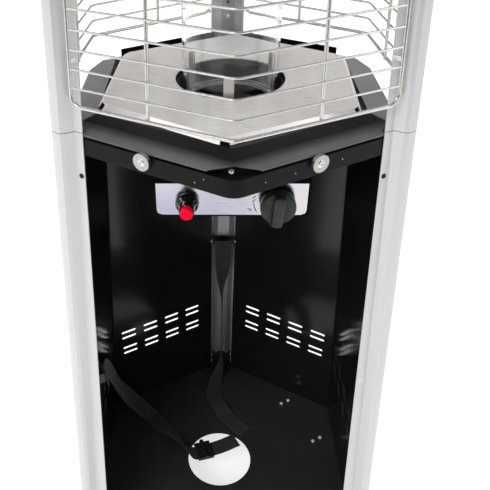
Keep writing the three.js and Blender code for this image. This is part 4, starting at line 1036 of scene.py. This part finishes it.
def build_fascia():
    """The bright fascia with its lower corners cut and rounded, and its two holes."""
    half, top, bottom, corner = FASCIA_HALF, FASCIA_TOP, FASCIA_BOTTOM, FASCIA_CORNER
    rim = [(-half, top), (-half, bottom + corner), (-half + 1.2, bottom + 2.2),
           (-half + corner, bottom), (half - corner, bottom), (half - 1.2, bottom + 2.2),
           (half, bottom + corner), (half, top)]
    plate = mesh_of(*ruled([[on_panel(x, y, out) for x, y in rim] for out in (-FASCIA_SHEET, 0)]))
    tools = []
    for centre, radius in ((KNOB_ACROSS, KNOB_HOLE), (IGNITER_ACROSS, IGNITER_HOLE)):
        pin = [(0, -HOLE_REACH), (radius, -HOLE_REACH), (radius, HOLE_REACH), (0, HOLE_REACH)]
        tools.append(turned(pin, HOLE_STEPS, around_panel(centre)))
    settle("bright_fascia", perforated(plate, joined(tools), fascia_steel), fascia_steel,
           stands_for=["control_fascia"])


# Print on the fascia, placed from the knob's middle
ARC_RADIUS = 25.8
ARC_START = 184
ARC_END = 211
ARC_STEP = 3
ARC_WIDTH = 0.95
HIGH_SIGN = (-25.6, 3.8)
HIGH_SIGN_LIFT = 2.2
HIGH_SIGN_REACH = 1.7
LOW_SIGN = (-30.3, -10.0)
LOW_SIGN_DASHES = ((-1.3, 1.3), (0.2, -0.3), (1.6, -1.5), (1.5, 1.0))
LOW_SIGN_REACH = 0.6
SIGN_WIDTH = 1.0
PRINT_BACK = 0.02
PRINT_FRONT = 0.12


def printed(points, width):
    """A thin printed line along points that are counted from the knob's middle."""
    rim = [*offset_chain(points, width / 2), *reversed(offset_chain(points, -width / 2))]
    return ruled([[on_panel(KNOB_ACROSS + x, y, out) for x, y in rim]
                  for out in (PRINT_BACK, PRINT_FRONT)])


def printed_dash(x, y, reach):
    """A short printed stroke that climbs to the right."""
    return printed([(x - reach, y - reach), (x + reach, y + reach)], SIGN_WIDTH)


def build_marks():
    """The knob's printed scale: an arc beside it and a small plain sign at each end."""
    marks = [printed([polar(turn, ARC_RADIUS)
                      for turn in range(ARC_START, ARC_END + 1, ARC_STEP)], ARC_WIDTH)]
    for lift in (-HIGH_SIGN_LIFT, HIGH_SIGN_LIFT):
        marks.append(printed_dash(HIGH_SIGN[0], HIGH_SIGN[1] + lift, HIGH_SIGN_REACH))
    for x, y in LOW_SIGN_DASHES:
        marks.append(printed_dash(LOW_SIGN[0] + x, LOW_SIGN[1] + y, LOW_SIGN_REACH))
    settle("fascia_print", joined(marks), dark_print_and_hole_shade)


build_knob()
build_pointer()
build_igniter()
build_fascia()
build_marks()


# Bottle straps: each row is a place on the strap's middle line and the way of its width
BACK_STRAP = [
    (0, 207.4, -391, 1, 0, 0), (0, 207, -406, 1, 0, 0), (0, 207, -434, 1, 0.15, 0),
    (0, 206, -472, 0.7, 0.7, 0), (0, 206, -520, 0.1, 1, 0), (0, 207, -600, 0, 1, 0),
    (-1, 206, -665, 0, 1, 0), (-5, 194, -711, 0.6, 0.55, -0.55),
    (-13, 168, -733, 0.9, 0.3, -0.3), (-14, 144, -741, 1, 0, 0), (-6, 122, -736, 1, 0.1, 0),
    (10, 98, -742, 1, 0.3, 0), (28, 78, -743, 0.8, 0.6, 0), (46, 60, -743, 0.7, 0.7, 0)]
LEFT_STRAP = [
    (-179.6, -103.7, -391, 0.5, -0.866, 0), (-178.8, -103.3, -408, 0.5, -0.866, 0),
    (-180, -86, -434, 0.4, -0.85, -0.3), (-187, -47, -457, 0.1, -0.8, -0.55),
    (-190, 0, -517, 0, -0.83, -0.55), (-187, 42, -598, 0.05, -0.85, -0.5),
    (-176, 72, -660, -0.3, -0.8, -0.45), (-160, 92, -710, -0.5, -0.8, -0.3),
    (-140, 92, -738, -0.68, -0.73, 0), (-118, 70, -742, -0.68, -0.73, 0),
    (-96, 44, -734, -0.5, -0.5, 0.5), (-74, 18, -730, -0.2, -0.5, 0.75),
    (-52, 8.6, -742, 0.29, -0.957, 0), (-34, 14, -743, 0.29, -0.957, 0),
    (-16, 19.4, -743, 0.29, -0.957, 0), (4, 28, -743, 0.4, -0.9, 0),
    (28, 41, -743, 0.5, -0.87, 0)]
STRAP_WIDTH = 30
STRAP_THICKNESS = 1.6
STRAP_STEPS = 14


def smooth_line(rows, steps):
    """A centripetal curve through rows of numbers, the same as the CAD's."""
    rows = [Vector(row) for row in rows]
    rows = [2 * rows[0] - rows[1], *rows, 2 * rows[-1] - rows[-2]]
    line = []
    for i in range(len(rows) - 3):
        a, b, c, d = rows[i:i + 4]
        gaps = [(q - p).length ** 0.5 for p, q in ((a, b), (b, c), (c, d))]
        if gaps[1] < 1e-4:
            gaps[1] = 1.0
        gaps = [gap if gap >= 1e-4 else gaps[1] for gap in gaps]
        into = ((b - a) / gaps[0] - (c - a) / (gaps[0] + gaps[1]) + (c - b) / gaps[1])
        away = ((c - b) / gaps[1] - (d - b) / (gaps[1] + gaps[2]) + (d - c) / gaps[2])
        into, away = into * gaps[1], away * gaps[1]
        for k in range(steps + (i == len(rows) - 4)):
            t = k / steps
            line.append(b + into * t + (3 * (c - b) - 2 * into - away) * t * t
                        + (2 * (b - c) + into + away) * t * t * t)
    return line


def strap_rim():
    """Webbing across: thick selvedges, the field between them a little thinner."""
    half = STRAP_WIDTH / 2
    edge = [(-half, 0.0), (-half + 0.35, 0.62), (-half + 1.3, 0.98), (-half + 2.6, 0.86)]
    field = [(half * share, 0.86) for share in (-0.5, 0.0, 0.5)]
    top = [*edge, *field, *[(-w, t) for w, t in reversed(edge)]]
    rim = [*top, *[(w, -t) for w, t in reversed(top[1:-1])]]
    return [(w, t * STRAP_THICKNESS / 2) for w, t in rim]


def build_strap(name, route, node):
    places = smooth_line([row[:3] for row in route], STRAP_STEPS)
    widths = smooth_line([row[3:] for row in route], STRAP_STEPS)
    rim = strap_rim()
    rings, stations, run = [], [], 0.0
    for i, point in enumerate(places):
        ahead = places[min(i + 1, len(places) - 1)]
        behind = places[max(i - 1, 0)]
        along = (ahead - behind).normalized()
        wide = (widths[i] - along * widths[i].dot(along)).normalized()
        flat = along.cross(wide).normalized()
        if i:
            run += (point - behind).length
        stations.append(run * MM)
        rings.append([at(*(point + wide * w + flat * t)) for w, t in rim])
    mesh = mesh_of(*ruled(rings))
    layer = mesh.uv_layers.new(name="strap")
    for loop in mesh.loops:
        row, k = divmod(loop.vertex_index, len(rim))
        layer.data[loop.index].uv = (stations[row], rim[k][0] / STRAP_WIDTH + 0.5)
    settle(name, mesh, strap_webbing, stands_for=[node], smooth=60)


build_strap("strap_from_back", BACK_STRAP, "strap_back")
build_strap("strap_from_left", LEFT_STRAP, "strap_left")


# Screws, clips, pips and a dark disc of painted shade in a hole: each row is a place, a facing, a
# turn about it and a scale
SCREW = (3.1, 1.3)
BLACK_SCREW_RISE = -68
SILVER_SCREW_RISES = (-385, -700)
SCREW_ACROSS = 20.5
SILVER_SCREW_SCALE = 0.7
MAGNET_TURNS = {"left": -120, "right": -60}
MAGNET_SCREW = (4.6, 1.6)
MAGNET_SCREW_OUT = 1.9
SMALL_SCREW = (3.0, 1.4)
SMALL_SCALE = 0.6
HOLE_SHADE_DISC = (2.4, 0.6)
PIP = (0.55, 0.4)
BACK_WEB = 196.0
CHANNEL_SCREW_RISE = 16
CHANNEL_HOLE_RISE = 36
FLANK_START = 6.4
FLANK_SCREWS = ((-396, 21.7), (-706, 19.5))
FOOT_SCREW_RISE = -706
FOOT_SCREW_ACROSS = 10.7
FOOT_SHEET = 1.4
CLIP_PLACE = (-1, -148.8, -46.5)
BOLTS_RADIAL = (171, 188)
BOLTS_ACROSS = 52.5
BOLT_TOP = 4.0
PIP_PLACES = ((-30.0, -196.7, -28.9), (-38.9, -192.0, -35.1), (31.9, -195.9, -32.8),
              (63.1, -177.9, -32.8), (115.2, -147.8, -32.4))


def set_out(name, template, rows, material):
    """One piece made of copies of a template mesh at each row."""
    settle(name, scattered(template, rows, material), material)


def wing_place(azimuth, side, rise):
    """A place on a post cover's wing and the way that the wing faces there."""
    x, y = behind_skin(azimuth, side, rise, SCREW_ACROSS, 0.0)
    facing = Vector((*polar(azimuth + side * 30, 1), LEAN)).normalized()
    return at(x, y, rise), facing


def web_place(x, rise, proud=0.0):
    """A place on the back channel's web, which faces the front."""
    return at(x, BACK_WEB - LEAN * rise - proud, rise), (0, -1, -LEAN)


def flank_place(side, rise, across):
    """A place on one of the back channel's two flanks."""
    deep = BACK_WEB - TAN30 * (across - FLANK_START) - LEAN * rise
    return at(side * across, deep, rise), (-side * 0.5, -COS30, -LEAN)


def build_post_screws():
    wings = [(azimuth, side) for azimuth in POSTS.values() for side in (-1, 1)]
    black = [(*wing_place(*wing, BLACK_SCREW_RISE), 0.3, 1.0) for wing in wings]
    silver = [(*wing_place(*wing, rise), 0.6, SILVER_SCREW_SCALE)
              for wing in wings for rise in SILVER_SCREW_RISES]
    set_out("post_screws_black", head_template(*SCREW), black, black_screw)
    set_out("post_screws_silver", head_template(*SCREW), silver, bright_zinc)


def build_magnet_screws():
    rows = []
    for side, turn in MAGNET_TURNS.items():
        facing = Vector((*polar(turn, 1), 0))
        low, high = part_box(f"door_magnet_{side}")
        rows.append(((low + high) / 2 + facing * MAGNET_SCREW_OUT * MM, facing, 0.4, 1.0))
    set_out("magnet_screws", head_template(*MAGNET_SCREW, socket=0.5), rows, wire_steel)


def build_small_screws():
    """Screws on the back channel, in the slot above the band and in the tray."""
    rows = [(*web_place(0, CHANNEL_SCREW_RISE), 0.2, 0.95)]
    for side in (-1, 1):
        for rise, across in FLANK_SCREWS:
            rows.append((*flank_place(side, rise, across), 0.5, SMALL_SCALE))
        foot = web_place(side * FOOT_SCREW_ACROSS, FOOT_SCREW_RISE, FOOT_SHEET)
        rows.append((*foot, 0.5, SMALL_SCALE))
    rows.append((at(*CLIP_PLACE), (0, -1, 0.2), 0.1, 1.0))
    for radial in BOLTS_RADIAL:
        for across in (-BOLTS_ACROSS, BOLTS_ACROSS):
            x, y = polar(BENDS["right"], radial, across)
            rows.append((at(x, y, FLOOR_RISE + BOLT_TOP), (0, 0, 1), across, 1.1))
    set_out("small_screws", head_template(*SMALL_SCREW), rows, bright_zinc)


def build_hole_shade_and_pips():
    # A near-black disc on the back channel's web: painted shade standing in for the hole there
    hole_shade = [(*web_place(0, CHANNEL_HOLE_RISE), 0.0, 1.0)]
    set_out("channel_hole_plug", head_template(*HOLE_SHADE_DISC), hole_shade, dark_print_and_hole_shade)
    pips = [(at(x, y, rise), (math.copysign(0.5, x), -0.866, 0.06), 0.0, 1.0)
            for x, y, rise in PIP_PLACES]
    set_out("band_pips", head_template(*PIP, steps=12), pips, bright_zinc)


build_post_screws()
build_magnet_screws()
build_small_screws()
build_hole_shade_and_pips()


# Floor and light; the lamps' places and sizes are in metres
FLOOR_HALF = 12.0
FLOOR_GLOW = 0.7
WORLD_STRENGTH = 0.6
WALL_HALF = 2.6
WALL_AWAY = 2.4
CEILING_RISE = 1600
CEILING_HALF = 1800
CEILING_FRONT = -2200
STRIP_NEAR = 918
STRIP_MIDDLE = 445
STRIP_SLOPE = 0.63
STRIP_DEPTH = 600
FLOOR_NEAR = -1100
FLOOR_BOTTOM = -804
LAMPS = (
    ("softbox_front", (-1.6, -2.6, 3.0), (0, 0, 0.9), (1.8, 1.4), 72, (1, 1, 1)),
    ("softbox_side", (2.6, -0.6, 2.5), (0, 0, 1.0), (1.2, 1.8), 18, (0.95, 0.98, 1)),
    ("softbox_left", (-2.6, -0.3, 2.9), (0, 0, 1.1), (1.2, 1.8), 22, (1, 1, 1)),
    ("softbox_top", (0.3, 1.1, 3.5), (0, 0, 0.9), (2.0, 1.2), 50, (1, 1, 1)))


def staged(name, corners, material):
    """A flat thing of the studio, which is no piece of the heater."""
    mesh = mesh_of(corners, [tuple(range(len(corners)))])
    mesh.materials.append(material)
    in_scene(name, mesh)


def make_floor():
    """A white floor that takes the shadow and glows for the camera and in reflections."""
    material, tree, principled = new_material("stage_floor")
    tree.nodes.remove(principled)
    rays = new_node(tree, "ShaderNodeLightPath").outputs
    mirrored = maths(tree, "MAXIMUM", rays["Is Glossy Ray"], rays["Is Transmission Ray"])
    seen = maths(tree, "MAXIMUM", rays["Is Camera Ray"], mirrored)
    diffuse = new_node(tree, "ShaderNodeBsdfDiffuse", {"Color": grey(0.6)})
    glow = new_node(tree, "ShaderNodeEmission", {
        "Color": grey(1.0), "Strength": maths(tree, "MULTIPLY", seen, FLOOR_GLOW)})
    both = new_node(tree, "ShaderNodeAddShader", {0: diffuse.outputs[0], 1: glow.outputs[0]})
    put_out(tree, tree.nodes["Material Output"], Surface=both.outputs[0])
    size = FLOOR_HALF
    staged("stage_floor", [(-size, -size, 0), (size, -size, 0), (size, size, 0),
                           (-size, size, 0)], material)


def make_world():
    world = bpy.data.worlds.new("studio")
    bpy.context.scene.world = world
    world.use_nodes = True
    tree = world.node_tree
    rays = new_node(tree, "ShaderNodeLightPath").outputs
    seen = maths(tree, "MAXIMUM", rays["Is Camera Ray"], rays["Is Transmission Ray"])
    background = tree.nodes["Background"]
    background.inputs["Color"].default_value = grey(1.0)
    put_out(tree, background, Strength=maths(tree, "MULTIPLY_ADD", seen, 1 - WORLD_STRENGTH,
                                             WORLD_STRENGTH))


def make_card(name, corners, colour, strength=1.0):
    """A card that is seen in reflections alone, like the things of a room round the camera."""
    material, tree, principled = new_material(name)
    tree.nodes.remove(principled)
    rays = new_node(tree, "ShaderNodeLightPath").outputs
    shine = new_node(tree, "ShaderNodeEmission", {"Color": colour, "Strength": strength})
    clear = new_node(tree, "ShaderNodeBsdfTransparent")
    both = new_node(tree, "ShaderNodeMixShader", {
        0: rays["Is Glossy Ray"], 1: clear.outputs[0], 2: shine.outputs[0]})
    put_out(tree, tree.nodes["Material Output"], Surface=both.outputs[0])
    staged(name, corners, material)


def make_walls():
    """Two dark walls, one before the heater and one behind it."""
    for name, away, low, high in (("dark_wall_front", -WALL_AWAY, 0.15, 2.1),
                                  ("dark_wall_back", WALL_AWAY, 1.5, 2.9)):
        make_card(name, [(-WALL_HALF, away, low), (WALL_HALF, away, low),
                         (WALL_HALF, away, high), (-WALL_HALF, away, high)], grey(0.03))


def make_ceiling():
    """A dark ceiling and a bright strip, whose front edge shows along the hood's slopes."""
    edge = [(x, STRIP_NEAR + STRIP_SLOPE * max(abs(x) - STRIP_MIDDLE, 0))
            for x in (-CEILING_HALF, -STRIP_MIDDLE, STRIP_MIDDLE, CEILING_HALF)]
    front = [at(x, y, CEILING_RISE) for x, y in edge]
    back = [at(x, y + STRIP_DEPTH, CEILING_RISE) for x, y in reversed(edge)]
    make_card("bright_ceiling", front + back, grey(1.0), 0.6)
    make_card("dark_ceiling", [at(-CEILING_HALF, CEILING_FRONT, CEILING_RISE),
                               at(CEILING_HALF, CEILING_FRONT, CEILING_RISE),
                               *reversed(front)], grey(0.1))


def make_floor_tints():
    """Tinted floor in front, which the fascia mirrors."""
    for name, low, high, depth, colour in (
            ("lilac_floor", -300, 16, 240, (0.56, 0.6, 0.9, 1)),
            ("rosy_floor", 16, 120, 400, (0.8, 0.78, 0.88, 1))):
        make_card(name, [at(x, y, FLOOR_BOTTOM) for x, y in (
            (low, FLOOR_NEAR), (high, FLOOR_NEAR), (high, FLOOR_NEAR - depth),
            (low, FLOOR_NEAR - depth))], colour)


def add_lamp(name, place, target, size, power, colour):
    data = bpy.data.lights.new(name, "AREA")
    data.shape = "RECTANGLE"
    data.size, data.size_y = size
    data.energy = power
    data.color = colour
    lamp = in_scene(name, data)
    lamp.location = place
    lamp.rotation_mode = "QUATERNION"
    lamp.rotation_quaternion = (Vector(target) - Vector(place)).to_track_quat("-Z", "Y")


make_floor()
make_world()
make_walls()
make_ceiling()
make_floor_tints()
for lamp_row in LAMPS:
    add_lamp(*lamp_row)

bpy.context.scene.view_settings.view_transform = "Standard"
